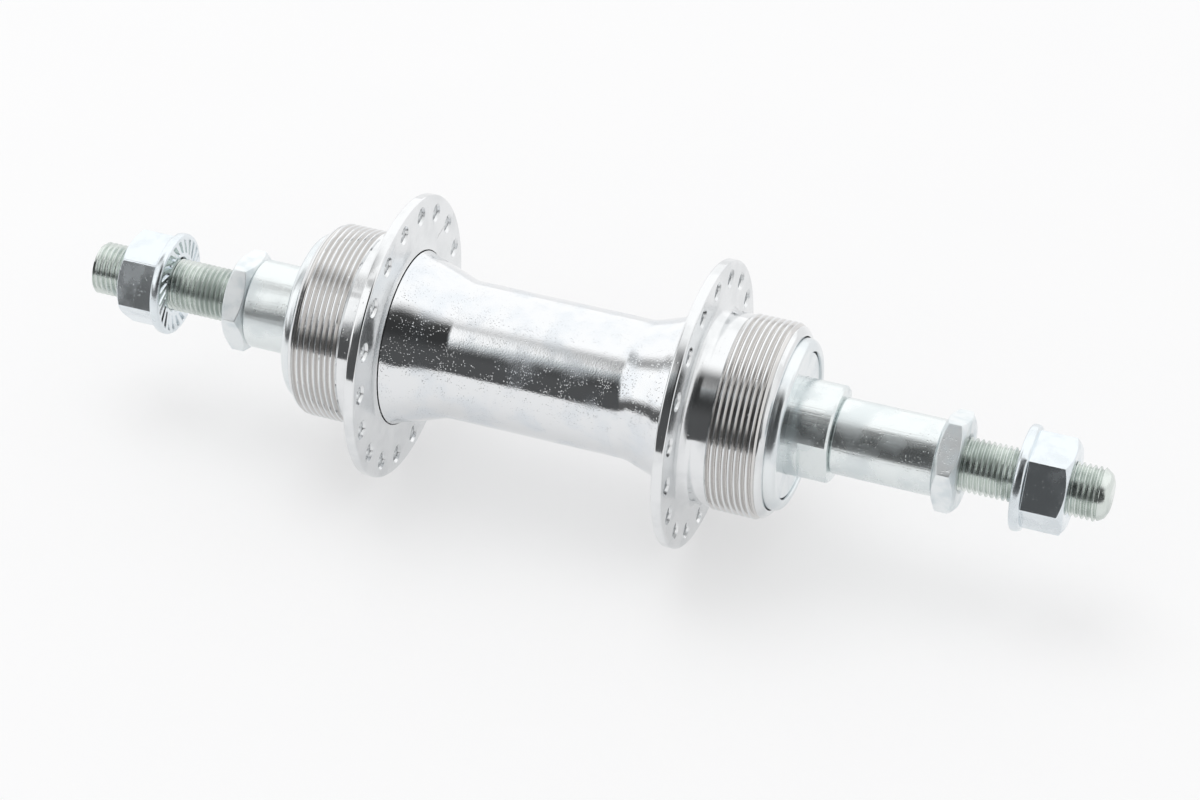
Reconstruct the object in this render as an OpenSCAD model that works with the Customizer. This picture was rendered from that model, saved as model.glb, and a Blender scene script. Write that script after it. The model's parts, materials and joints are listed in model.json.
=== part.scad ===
// Rear bicycle hub with a freewheel thread on both sides, cup-and-cone ball bearings
// and a solid axle with locknuts and flanged axle nuts.
// Millimetres. +X runs along the axle towards the long spacer, +Y away from the viewer,
// +Z up. The origin is on the axis, at the middle of the axle.

/* [Axle] */
// Overall length of the axle
axle_len = 188; // [180:1:205]
// Outside diameter of the axle thread
axle_d = 9.525; // [8.5:0.005:10]
// Pitch of the axle thread
axle_pitch = 0.977; // [0.9:0.001:1.25]
// Length of the thread, measured from each end of the axle
axle_thread_len = 66; // [52:1:72]
// Diameter of the plain shank between the two threads
axle_shank_d = 8.9; // [8:0.1:9]
// Length of the bevel on the left end
left_tip_len = 0.6; // [0.3:0.1:2]
// Length of the domed right end
right_tip_len = 1.6; // [0.8:0.1:3]
// Diameter of the flat on each end of the axle
axle_tip_d = 7; // [5:0.1:8]

/* [Hub width] */
// Distance over the outer faces of the two locknuts
over_locknut_w = 135; // [130:1:142]
// Shift of the locknuts' midpoint from the middle of the axle, to the right
locknut_shift = 1; // [-1:0.5:3]
// Distance between the middle planes of the two flanges
flange_spacing = 56; // [52:1:60]
// Shift of the flanges' midpoint from the middle of the axle, to the right
flange_shift = -6.5; // [-9:0.5:-4]

/* [Flanges] */
// Diameter of a flange
flange_d = 51.4; // [50:0.1:58]
// Thickness of a flange
flange_t = 1.9; // [1.6:0.1:3]
// Rounding of the flange rim
rim_round = 0.4; // [0.1:0.05:0.7]
// Number of spoke holes in one flange
spoke_holes = 18; // [12:1:20]
// Distance from the centres of the spoke holes to the rim
spoke_edge = 3.2; // [2.6:0.1:4]
// Diameter of a spoke hole
spoke_hole_d = 2.7; // [2:0.1:3]
// Depth of the countersink at each mouth of a spoke hole
spoke_countersink = 0.35; // [0.1:0.05:0.6]
// Angle of the first spoke hole in the left flange
left_hole_angle = 10; // [0:0.5:20]
// Angle of the first spoke hole in the right flange
right_hole_angle = 0.5; // [0:0.5:20]
// Radius of the hollow curve between a flange and the neck around the barrel
neck_fillet = 2; // [1:0.1:3]
// Wall of the neck around the barrel
neck_wall = 0.3; // [0.2:0.1:1.5]

/* [Threaded bosses] */
// Outside diameter of the freewheel thread
boss_thread_d = 34.92; // [34:0.01:36]
// Pitch of the freewheel thread
boss_pitch = 1.058; // [1:0.001:1.27]
// Number of thread turns on a boss
boss_turns = 8; // [5:1:9]
// Length of a boss, from the outer face of its flange
boss_len = 14.65; // [14:0.05:18]
// Diameter of the plain shoulder between the flange and the thread
shoulder_d = 34.3; // [33.6:0.1:34.9]
// Radius where the shoulder meets the flange
shoulder_fillet = 1.8; // [0.3:0.1:2.2]
// Length of the chamfer at the end of a boss
boss_chamfer = 1.1; // [0.6:0.1:1.6]
// Thickness of the inner rib between the barrel and the bearing cup
rib_t = 1.1; // [0.8:0.1:1.5]
// Height of the inner rib below the bore for the bearing cup
rib_h = 1.2; // [0.6:0.1:1.6]

/* [Barrel] */
// Outside diameter of the barrel at its waist
waist_d = 24.9; // [23:0.1:27]
// Outside diameter of the flared ends of the barrel
flare_d = 29.6; // [28.6:0.1:29.8]
// Wall of the barrel
barrel_wall = 1.2; // [0.8:0.1:1.6]
// Length of the straight flared end, inboard of the flange's middle plane
flare_straight = 3.2; // [3:0.1:7]
// Length of the taper from the flared end to the waist
flare_taper = 9.2; // [6:0.1:14]
// Depth that the barrel enters a flange, beyond the flange's middle plane
barrel_seat = 3.4; // [2.5:0.1:3.6]

/* [Bearings] */
// Diameter of a bearing ball
ball_d = 6.35; // [6:0.05:6.5]
// Number of balls in one bearing
ball_count = 9; // [6:1:9]
// Diameter of the circle through the ball centres
ball_pcd = 20.8; // [20.4:0.1:21.2]
// Distance from the flange's middle plane to the ball centres
ball_inset = 10.5; // [10:0.1:10.8]
// Outside diameter of a bearing cup and of its dust cap
cup_d = 30.4; // [30.2:0.05:31]
// Length of a bearing cup
cup_len = 8; // [7.6:0.1:8.4]
// Thickness of a ball retainer
retainer_t = 0.8; // [0.5:0.1:1]
// Thickness of the tabs between the balls
retainer_tab_t = 0.5; // [0.3:0.1:0.6]

/* [Cones] */
// Diameter of the collar of a cone
cone_d = 17.2; // [15.5:0.1:18]
// Width across the wrench flats of the right cone
cone_flats_w = 15; // [13:0.5:16]
// Length of the wrench flats
cone_flats_len = 5.1; // [3:0.1:6]
// Direction that the front wrench flat faces
cone_flats_angle = 188; // [0:1:359]
// How far the right cone stands out of its dust cap
right_cone_proud = 7; // [6.5:0.1:10]
// How far the left cone stands out of its dust cap
left_cone_proud = 0.1; // [0:0.1:4]
// Length of the nose of a cone, inboard of the ball centres
cone_nose = 3.2; // [2.2:0.1:4]
// Bevel on the ends of the cones and spacers
end_bevel = 0.4; // [0.2:0.1:0.8]

/* [Dust caps and shields] */
// How far a dust cap stands out of its boss
dust_cap_proud = 1.95; // [1.6:0.05:2.6]
// Sheet thickness of a dust cap
dust_cap_t = 1; // [0.6:0.05:1.2]
// Radius of the rounded shoulder of a dust cap
dust_cap_round = 1.3; // [0.8:0.05:1.5]
// Width of the dust cap's ring around a shield
dust_cap_lip = 2.1; // [1.6:0.1:2.8]
// Thickness of a cone shield
shield_t = 1; // [0.6:0.05:1.3]
// How far a shield lies behind the face of its dust cap
shield_recess = 0.4; // [0:0.05:0.6]

/* [Spacers] */
// Diameter of the left spacer
left_spacer_d = 16; // [13:0.1:17]
// Diameter of the right spacer
right_spacer_d = 13.5; // [12:0.1:16]

/* [Locknuts] */
// Width across the flats of a locknut
locknut_w = 16; // [15:0.5:19]
// Thickness of a locknut
locknut_t = 4; // [3:0.1:5]
// Angle of a corner of the left locknut
left_locknut_angle = 47.5; // [0:0.5:60]
// Angle of a corner of the right locknut
right_locknut_angle = 37; // [0:0.5:60]
// Depth of the corner bevels on a locknut
locknut_bevel = 0.9; // [0.4:0.1:1.3]

/* [Axle nuts] */
// Width across the flats of an axle nut
nut_w = 15; // [14:0.5:17]
// Height of an axle nut with its flange
nut_h = 9; // [8:0.1:12]
// Diameter of the flange of an axle nut
nut_flange_d = 18.6; // [18:0.1:22]
// Thickness of the flange of an axle nut
nut_flange_t = 1.8; // [1.4:0.1:2.6]
// Number of gripping teeth on the flange
nut_teeth = 24; // [12:1:30]
// Depth of the gripping teeth
tooth_depth = 0.4; // [0.2:0.05:0.6]
// Width of the plain ring between the bore and the gripping teeth
tooth_land = 1; // [0.4:0.1:1.6]
// Width of the smooth ring outside the teeth
tooth_rim = 0.8; // [0.5:0.1:1.2]
// Depth of the corner bevels on the outer end
nut_bevel = 0.9; // [0.4:0.1:1.4]
// How far the axle stands out of its nuts
axle_proud = 6.7; // [1:0.1:12]
// Angle of a corner of the left axle nut
left_nut_angle = 63.8; // [0:0.1:120]
// Angle of a corner of the right axle nut
right_nut_angle = 60; // [0:0.1:120]

/* [Fits] */
// Radial gap between the axle thread and the nuts and cones on it
thread_gap = 0.05; // [0.02:0.01:0.1]
// Radial gap between the axle thread and the spacers
spacer_gap = 0.15; // [0.05:0.05:0.3]
// Radial gap between pieces that are pressed together
press_gap = 0.01; // [0.005:0.005:0.03]
// Gap between the balls and their races
race_gap = 0.03; // [0.01:0.01:0.05]
// Gap between the balls and their retainer
retainer_gap = 0.06; // [0.03:0.01:0.1]
// Radial gap between a cone shield and its dust cap
shield_gap = 0.15; // [0.1:0.01:0.3]

/* [Hidden] */

LEFT = -1;
RIGHT = 1;
// Facets of a full turn
ROUND = 96;
// Points on a profile curve
CURVE = 8;
// More than any radius here, for cutting tools
BEYOND = 40;
// Shares of a 60 degree thread: depth, crest flat and root flat, of the pitch
THREAD_DEPTH = 0.61;
THREAD_CREST = 0.13;
THREAD_ROOT = 0.16;
// Where a cone's race ends, in degrees outboard of the inward radius
RACE_END = 70;
// Where a cone's race starts, in degrees inboard of the inward radius
RACE_START = 20;
// Where a cup's race ends, in degrees inboard of the outward radius
CUP_RACE_END = 75;
// The chamfered end of a boss: [share of the way out from the bore to the thread's root,
// share of the chamfer's length]
BOSS_NOSE = [[1.19, 0.15], [0.75, 0.7], [0.35, 1]];
// Shares of a ball's radius that set out its retainer: the ring's inboard face, its outer
// and inner edges, and the tabs' inner and outer edges
RING_FACE = 0.66;
RING_OUT = 0.95;
RING_IN = 0.25;
TAB_IN = 0.5;
TAB_OUT = 0.85;
// Turn of a nut's corners from the start of its round faces and of its teeth
CORNER_TURN = 3.8;
// Width of a nut's flat end face, as a share of the width across its flats
NUT_FACE = 0.96;
// How far a bevelling outline reaches beyond the corners
BEVEL_SPARE = 0.5;
// Share of a tooth groove's width before its steep side
TOOTH_SLOPE = 0.8;
// Share of a taper that bends at each end, with a straight cone between
FLARE_BEND = 0.25;
// Length of the step from a thread's root to a plain shoulder or shank
SHOULDER_STEP = 0.3;
SHANK_STEP = 1;
// Broken edges of the axle's domed end, of the shields and of the nuts' flanges
SMALL_EDGE = 0.2;
FLANGE_FOOT_EDGE = 0.3;
FLANGE_TOP_EDGE = 0.5;
// Where the domed end of the axle is widest, as a share of the dome's length from its tip
DOME_SHOULDER = 0.35;

CHROME = [0.82, 0.83, 0.86];
ZINC = [0.76, 0.81, 0.86];
DULL_ZINC = [0.70, 0.74, 0.71];
STEEL = [0.62, 0.62, 0.64];

// Places along X
left_flange_x = flange_shift - flange_spacing / 2;
right_flange_x = flange_shift + flange_spacing / 2;
left_locknut_face_x = locknut_shift - over_locknut_w / 2;
right_locknut_face_x = locknut_shift + over_locknut_w / 2;
left_nut_face_x = axle_proud + nut_h - axle_len / 2;
right_nut_face_x = axle_len / 2 - axle_proud - nut_h;

// Distances outboard of a flange's middle plane, the same on both sides
boss_end = flange_t / 2 + boss_len;
thread_end = boss_end - boss_chamfer;
thread_start = thread_end - boss_turns * boss_pitch;
neck_end = -flange_t / 2 - neck_fillet;
cup_start = barrel_seat + rib_t;
cup_end = cup_start + cup_len;
dust_cap_face = boss_end + dust_cap_proud;
shield_face = dust_cap_face - shield_recess;
shield_back = shield_face - shield_t;
left_cone_end = dust_cap_face + left_cone_proud;
right_cone_end = dust_cap_face + right_cone_proud;

// Radii
axle_r = axle_d / 2;
thread_bore_r = axle_r + thread_gap;
spacer_bore_r = axle_r + spacer_gap;
boss_r = boss_thread_d / 2;
boss_root_r = boss_r - THREAD_DEPTH * boss_pitch;
barrel_bore_r = flare_d / 2 + press_gap;
neck_r = barrel_bore_r + neck_wall;
spoke_circle_r = flange_d / 2 - spoke_edge;
cup_r = cup_d / 2;
cup_bore_r = cup_r + press_gap;
ball_r = ball_d / 2;
race_r = ball_r + race_gap;
pitch_r = ball_pcd / 2;
cone_r = cone_d / 2;
cone_shoulder_r = pitch_r - race_r * cos(RACE_END);
dust_cap_bore_r = cup_r - dust_cap_lip;
shield_r = dust_cap_bore_r - shield_gap;

// The ball retainer: a ring outboard of the balls, with a tab between each two of them
retainer_start = ball_inset + RING_FACE * ball_r;
retainer_out_r = pitch_r + RING_OUT * ball_r;
retainer_in_r = pitch_r - RING_IN * ball_r;
tab_in_r = pitch_r + TAB_IN * ball_r;
tab_out_r = pitch_r + TAB_OUT * ball_r;

// Points along an arc in a profile, from angle a0 to a1, about the centre [r, z]
function arc(r, z, radius, a0, a1) = [
    for (i = [0 : CURVE])
        let (a = a0 + (a1 - a0) * i / CURVE)
            [r + radius * cos(a), z + radius * sin(a)]
];

// Profile of an external thread of rings, from z upwards
function thread_points(r, pitch, turns, z) =
    let (
        root_r = r - THREAD_DEPTH * pitch,
        flank = pitch * (1 - THREAD_CREST - THREAD_ROOT) / 2
    )
    [
        for (i = [0 : turns - 1])
            let (z0 = z + i * pitch + THREAD_ROOT * pitch)
                each [
                    [root_r, z + i * pitch],
                    [root_r, z0],
                    [r, z0 + flank],
                    [r, z0 + flank + THREAD_CREST * pitch]
                ]
    ];

// Outer radius of the barrel at a distance inboard of the flange's middle plane
function barrel_r(inboard) =
    let (t = min(1, max(0, (inboard - flare_straight) / flare_taper)))
        (waist_d + (flare_d - waist_d) * (t < 0.5 ? 1 - eased(t) : eased(1 - t))) / 2;

// First half of a slope of 1 over 1 that bends gently at its ends
function eased(t) =
    t < FLARE_BEND
        ? t * t / (2 * FLARE_BEND * (1 - FLARE_BEND))
        : (t - FLARE_BEND / 2) / (1 - FLARE_BEND);

// A round piece with the profile [[r, z], ...] about local Z
module turned(profile) {
    rotate_extrude($fn = ROUND)
        polygon(profile);
}

// Puts a piece drawn along local Z at x, pointing outboard on the given side.
// Angles about the axle then run from +Y towards +Z.
module place(side, x) {
    translate([x, 0, 0])
        mirror([side == LEFT ? 1 : 0, 0, 0])
            rotate([90, 0, 90])
                children();
}

// Puts a piece drawn outboard from a flange's middle plane on its side of the hub
module at_flange(side) {
    place(side, side == LEFT ? left_flange_x : right_flange_x)
        children();
}

// A plain tube with both ends bevelled, from local z to z + len
module bevelled_tube(r, bore_r, len, z = 0) {
    turned([
        [bore_r, z],
        [r - end_bevel, z],
        [r, z + end_bevel],
        [r, z + len - end_bevel],
        [r - end_bevel, z + len],
        [bore_r, z + len]
    ]);
}

// A hexagon of width w across its flats
module hexagon(w, h) {
    rotate([0, 0, CORNER_TURN])
        cylinder(d = w / cos(30), h = h, $fn = 6);
}

// Turns a nut so that one of its corners is at the given angle
module turn_corner_to(angle) {
    rotate([0, 0, angle - CORNER_TURN])
        children();
}

// The turned outline that bevels a hexagon's corners, at its foot, its top or both.
// It is wider than the corners, so that only its cones cut them.
module corner_bevels(w, h, bevel, foot = true) {
    corner_r = w / cos(30) / 2;
    face_r = NUT_FACE * w / 2;
    outer_r = corner_r + BEVEL_SPARE;
    depth = bevel * (outer_r - face_r) / (corner_r - face_r);
    turned(concat(
        foot ? [[0, 0], [face_r, 0], [outer_r, depth]] : [[0, 0], [outer_r, 0]],
        [[outer_r, h - depth], [face_r, h], [0, h]]
    ));
}

module axle() {
    half = axle_len / 2;
    right_turns = floor((axle_thread_len - right_tip_len) / axle_pitch);
    left_turns = floor((axle_thread_len - left_tip_len) / axle_pitch);
    right_thread_end = half - right_tip_len;
    left_thread_end = left_tip_len - half;
    root_r = axle_r - THREAD_DEPTH * axle_pitch;
    color(DULL_ZINC)
        place(RIGHT, 0)
            turned(concat(
                [[0, -half], [axle_tip_d / 2, -half], [axle_r, left_thread_end]],
                thread_points(axle_r, axle_pitch, left_turns, left_thread_end),
                [
                    [root_r, left_thread_end + left_turns * axle_pitch],
                    [axle_shank_d / 2, left_thread_end + left_turns * axle_pitch + SHANK_STEP],
                    [axle_shank_d / 2, right_thread_end - right_turns * axle_pitch - SHANK_STEP]
                ],
                thread_points(axle_r, axle_pitch, right_turns,
                    right_thread_end - right_turns * axle_pitch),
                [
                    [root_r, right_thread_end],
                    [axle_r - SMALL_EDGE, right_thread_end],
                    [(axle_r + axle_tip_d / 2) / 2, half - DOME_SHOULDER * right_tip_len],
                    [axle_tip_d / 2, half],
                    [0, half]
                ]
            ));
}

module hub_barrel() {
    left_end = left_flange_x - barrel_seat;
    right_end = right_flange_x + barrel_seat;
    // From one end to the other, dense enough for the tapers to read as curves
    taper = [for (i = [0 : 2 * CURVE]) flare_straight + flare_taper * i / (2 * CURVE)];
    outer = concat(
        [[flare_d / 2, left_end]],
        [for (s = taper) [barrel_r(s), left_flange_x + s]],
        [for (i = [2 * CURVE : -1 : 0]) [barrel_r(taper[i]), right_flange_x - taper[i]]],
        [[flare_d / 2, right_end]]
    );
    inner = [
        for (i = [len(outer) - 1 : -1 : 0])
            [outer[i][0] - barrel_wall, outer[i][1]]
    ];
    color(CHROME)
        place(RIGHT, 0)
            turned(concat(outer, inner));
}

module spoke_hole() {
    mouth_r = spoke_hole_d / 2 + spoke_countersink;
    half = flange_t / 2;
    cylinder(d = spoke_hole_d, h = 2 * flange_t, center = true, $fn = 32);
    for (s = [0, 1])
        mirror([0, 0, s])
            translate([0, 0, half - spoke_countersink])
                cylinder(r1 = spoke_hole_d / 2, r2 = mouth_r, h = spoke_countersink, $fn = 32);
}

// A flange and its threaded boss, one piece
module threaded_flange(side, hole_angle) {
    half = flange_t / 2;
    rim_r = flange_d / 2;
    shoulder_r = shoulder_d / 2;
    profile = concat(
        // Neck around the barrel, and its hollow curve into the flange
        [[barrel_bore_r, neck_end]],
        arc(neck_r + neck_fillet, neck_end, neck_fillet, 180, 90),
        // Rim
        arc(rim_r - rim_round, -half + rim_round, rim_round, -90, 0),
        arc(rim_r - rim_round, half - rim_round, rim_round, 0, 90),
        // Shoulder and thread
        arc(shoulder_r + shoulder_fillet, half + shoulder_fillet, shoulder_fillet, 270, 180),
        [[shoulder_r, thread_start - SHOULDER_STEP], [boss_root_r, thread_start]],
        thread_points(boss_r, boss_pitch, boss_turns, thread_start),
        // Chamfered end
        [[boss_root_r, thread_end]],
        [
            for (p = BOSS_NOSE)
                [cup_r + p[0] * (boss_root_r - cup_r), thread_end + p[1] * boss_chamfer]
        ],
        // Bores for the dust cap, the cup, the rib and the barrel
        [
            [cup_bore_r, boss_end],
            [cup_bore_r, cup_start],
            [cup_bore_r - rib_h, cup_start],
            [cup_bore_r - rib_h, barrel_seat],
            [barrel_bore_r, barrel_seat]
        ]
    );
    color(CHROME)
        at_flange(side)
            difference() {
                turned(profile);
                for (i = [0 : spoke_holes - 1])
                    rotate([0, 0, hole_angle + 360 / spoke_holes * i])
                        translate([spoke_circle_r, 0, 0])
                            spoke_hole();
            }
}

module left_threaded_flange() {
    threaded_flange(LEFT, left_hole_angle);
}

module right_threaded_flange() {
    threaded_flange(RIGHT, right_hole_angle);
}

// Race ring pressed into the boss: the balls roll in its hollow, from inboard and outside
module bearing_cup(side) {
    race = arc(pitch_r, ball_inset, race_r, 0, -CUP_RACE_END);
    race_foot_r = race[CURVE][0];
    color(STEEL)
        at_flange(side)
            turned(concat(
                [
                    [race_foot_r, cup_start],
                    [cup_r, cup_start],
                    [cup_r, cup_end],
                    [pitch_r + race_r + race_gap, cup_end]
                ],
                race
            ));
}

module left_bearing_cup() {
    bearing_cup(LEFT);
}

module right_bearing_cup() {
    bearing_cup(RIGHT);
}

module balls(r) {
    for (i = [0 : ball_count - 1])
        rotate([0, 0, 360 / ball_count * i])
            translate([pitch_r, 0, ball_inset])
                sphere(r = r, $fn = 48);
}

module left_bearing_balls() {
    color(CHROME)
        at_flange(LEFT)
            balls(ball_r);
}

module right_bearing_balls() {
    color(CHROME)
        at_flange(RIGHT)
            balls(ball_r);
}

module ball_retainer(side) {
    color(STEEL)
        at_flange(side)
            difference() {
                union() {
                    turned([
                        [retainer_in_r, retainer_start],
                        [retainer_out_r, retainer_start],
                        [retainer_out_r, retainer_start + retainer_t],
                        [retainer_in_r, retainer_start + retainer_t]
                    ]);
                    for (i = [0 : ball_count - 1])
                        rotate([0, 0, 360 / ball_count * (i + 0.5)])
                            translate([tab_in_r, -retainer_tab_t / 2, ball_inset])
                                cube([
                                    tab_out_r - tab_in_r,
                                    retainer_tab_t,
                                    retainer_start + retainer_t / 2 - ball_inset
                                ]);
                }
                balls(ball_r + retainer_gap);
            }
}

module left_ball_retainer() {
    ball_retainer(LEFT);
}

module right_ball_retainer() {
    ball_retainer(RIGHT);
}

// Cone: nose, race and shoulder inside the hub, collar outside
module cone_body(cone_end) {
    turned(concat(
        [
            [thread_bore_r, ball_inset - cone_nose],
            [pitch_r - race_r - cone_nose / 4, ball_inset - cone_nose]
        ],
        arc(pitch_r, ball_inset, race_r, 180 + RACE_START, 180 - RACE_END),
        [
            [cone_shoulder_r, shield_back],
            [cone_r, shield_back],
            [cone_r, cone_end - end_bevel],
            [cone_r - end_bevel, cone_end],
            [thread_bore_r, cone_end]
        ]
    ));
}

module left_cone() {
    color(ZINC)
        at_flange(LEFT)
            cone_body(left_cone_end);
}

module right_cone() {
    color(ZINC)
        at_flange(RIGHT)
            difference() {
                cone_body(right_cone_end);
                for (a = [0, 180])
                    rotate([0, 0, cone_flats_angle + a])
                        translate([cone_flats_w / 2, -BEYOND / 2, right_cone_end - cone_flats_len])
                            cube(BEYOND);
            }
}

// Washer on the cone's collar that closes the dust cap's opening
module cone_shield(side) {
    color(ZINC)
        at_flange(side)
            turned([
                [cone_r + press_gap, shield_back],
                [shield_r, shield_back],
                [shield_r, shield_face - SMALL_EDGE],
                [shield_r - SMALL_EDGE, shield_face],
                [cone_r + press_gap, shield_face]
            ]);
}

module left_cone_shield() {
    cone_shield(LEFT);
}

module right_cone_shield() {
    cone_shield(RIGHT);
}

// Pressed ring in the mouth of the boss, with its edge rolled in towards the shield
module dust_cap(side) {
    inner_round = max(0.1, dust_cap_round - dust_cap_t);
    color(CHROME)
        at_flange(side)
            turned(concat(
                [[cup_r - dust_cap_t, cup_end + press_gap], [cup_r, cup_end + press_gap]],
                arc(cup_r - dust_cap_round, dust_cap_face - dust_cap_round, dust_cap_round, 0, 90),
                [[dust_cap_bore_r, dust_cap_face], [dust_cap_bore_r, dust_cap_face - dust_cap_t]],
                arc(cup_r - dust_cap_t - inner_round, dust_cap_face - dust_cap_t - inner_round,
                    inner_round, 90, 0)
            ));
}

module left_dust_cap() {
    dust_cap(LEFT);
}

module right_dust_cap() {
    dust_cap(RIGHT);
}

module left_spacer() {
    x = left_flange_x - left_cone_end;
    color(ZINC)
        place(LEFT, x)
            bevelled_tube(left_spacer_d / 2, spacer_bore_r, x - left_locknut_face_x - locknut_t);
}

module right_spacer() {
    x = right_flange_x + right_cone_end;
    color(ZINC)
        place(RIGHT, x)
            bevelled_tube(right_spacer_d / 2, spacer_bore_r, right_locknut_face_x - locknut_t - x);
}

// Locknut with both faces bevelled, its outer face at local z = 0 and its body below it
module locknut(angle) {
    turn_corner_to(angle)
        translate([0, 0, -locknut_t])
            difference() {
                intersection() {
                    hexagon(locknut_w, locknut_t);
                    corner_bevels(locknut_w, locknut_t, locknut_bevel);
                }
                translate([0, 0, -locknut_t / 2])
                    cylinder(r = thread_bore_r, h = 2 * locknut_t, $fn = ROUND);
            }
}

module left_locknut() {
    color(ZINC)
        place(LEFT, left_locknut_face_x)
            locknut(left_locknut_angle);
}

module right_locknut() {
    color(ZINC)
        place(RIGHT, right_locknut_face_x)
            locknut(right_locknut_angle);
}

// Slanted grooves between the teeth of a nut's flange, open at the rim
module tooth_grooves() {
    flange_r = nut_flange_d / 2;
    groove_w = PI * flange_r / nut_teeth;
    groove_start = thread_bore_r + tooth_land;
    for (i = [0 : nut_teeth - 1])
        rotate([0, 0, 360 / nut_teeth * i])
            translate([groove_start, 0, 0])
                rotate([90, 0, 90])
                    linear_extrude(flange_r - tooth_rim - groove_start)
                        polygon([
                            [0, -tooth_depth],
                            [groove_w, -tooth_depth],
                            [groove_w, 0],
                            [groove_w * TOOTH_SLOPE, tooth_depth],
                            [0, 0]
                        ]);
}

// Axle nut with its toothed face at local z = 0. Its hexagon starts inside its flange.
module axle_nut(angle) {
    flange_r = nut_flange_d / 2;
    hex_start = nut_flange_t / 2;
    hex_h = nut_h - hex_start;
    turn_corner_to(angle)
        difference() {
            union() {
                turned([
                    [0, 0],
                    [flange_r - FLANGE_FOOT_EDGE, 0],
                    [flange_r, FLANGE_FOOT_EDGE],
                    [flange_r, nut_flange_t - FLANGE_TOP_EDGE],
                    [flange_r - FLANGE_TOP_EDGE, nut_flange_t],
                    [0, nut_flange_t]
                ]);
                translate([0, 0, hex_start])
                    intersection() {
                        hexagon(nut_w, hex_h);
                        corner_bevels(nut_w, hex_h, nut_bevel, foot = false);
                    }
            }
            translate([0, 0, -nut_h / 2])
                cylinder(r = thread_bore_r, h = 2 * nut_h, $fn = ROUND);
            tooth_grooves();
        }
}

module left_axle_nut() {
    color(ZINC)
        place(LEFT, left_nut_face_x)
            axle_nut(left_nut_angle);
}

module right_axle_nut() {
    color(ZINC)
        place(RIGHT, right_nut_face_x)
            axle_nut(right_nut_angle);
}

axle();
hub_barrel();
left_threaded_flange();
right_threaded_flange();
left_bearing_cup();
right_bearing_cup();
left_bearing_balls();
right_bearing_balls();
left_ball_retainer();
right_ball_retainer();
left_cone();
right_cone();
left_cone_shield();
right_cone_shield();
left_dust_cap();
right_dust_cap();
left_spacer();
right_spacer();
left_locknut();
right_locknut();
left_axle_nut();
right_axle_nut();
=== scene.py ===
"""Studio picture of a bicycle rear hub that is threaded for a freewheel at both ends.

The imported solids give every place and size. The visible pieces are made here again with true
helical threads, rounded edges and plated finishes, each on the body that carries it.
"""

import json
import logging
import math
from collections.abc import Callable, Sequence
from dataclasses import dataclass, field
from enum import Enum

import bmesh
import bpy
import numpy as np
from mathutils import Matrix, Vector


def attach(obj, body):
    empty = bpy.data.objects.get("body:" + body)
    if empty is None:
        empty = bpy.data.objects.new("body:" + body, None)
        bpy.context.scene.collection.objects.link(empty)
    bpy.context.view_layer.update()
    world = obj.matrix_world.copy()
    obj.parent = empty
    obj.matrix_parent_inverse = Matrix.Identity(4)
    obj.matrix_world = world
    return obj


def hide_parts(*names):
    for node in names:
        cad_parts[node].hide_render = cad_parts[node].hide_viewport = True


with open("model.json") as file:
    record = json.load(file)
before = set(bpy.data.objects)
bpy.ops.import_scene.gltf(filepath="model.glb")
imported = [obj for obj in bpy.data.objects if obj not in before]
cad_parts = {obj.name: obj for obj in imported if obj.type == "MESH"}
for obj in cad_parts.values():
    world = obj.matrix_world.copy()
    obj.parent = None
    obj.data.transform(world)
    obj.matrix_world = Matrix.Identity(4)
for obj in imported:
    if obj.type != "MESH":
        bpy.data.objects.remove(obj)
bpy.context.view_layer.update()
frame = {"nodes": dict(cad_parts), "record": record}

LOG = logging.getLogger("hub")
MM = 0.001
TAU = 2 * math.pi
SIXTH = TAU / 6
# Points of a mesh closer than this, in metres, are one point
MERGE = 2e-6
# Gap between faces of two pieces that touch in the solids, in millimetres
TOUCH = 0.01
# Smallest angle between two columns of faces
CLOSEST = TAU / 3000
# Largest share of an edge that the roundings at its two ends take together
EDGE_SHARE = 0.96
# Turns of a thread that are made beyond each of its ends and then cut off
SPARE_TURNS = 2
# How strongly large faces set the shading of the edges round them
FLAT_FACE_WEIGHT = 80
# Edges that turn by more than these many degrees stay crisp
CRISP_FLATS, CRISP_BOSS, CRISP_TURNED, CRISP_THREAD = 28.0, 32.0, 40.0, 80.0

Triple = tuple[float, float, float]
Corner = Triple
Colour = Triple
Span = tuple[float, float]
Node = bpy.types.Node
NodeTree = bpy.types.NodeTree
Socket = bpy.types.NodeSocket
Material = bpy.types.Material


class Side(Enum):
    """The two ends of the hub, with their direction along the axle."""

    LEFT = -1
    RIGHT = 1

    @property
    def word(self) -> str:
        """The side's word in the names of nodes and pieces."""
        return self.name.lower()

    def pick(self, pair: tuple[float, float]) -> float:
        """The left or the right one of two values."""
        return pair[0 if self is Side.LEFT else 1]


class Slot(Enum):
    """The record's material slots."""

    SHELL = "shell_chrome"
    CAP = "cap_chrome"
    ZINC = "zinc_plate"
    NUT = "nut_zinc"
    AXLE = "axle_steel"
    BEARING = "bearing_steel"
    BALL = "ball_steel"


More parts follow.
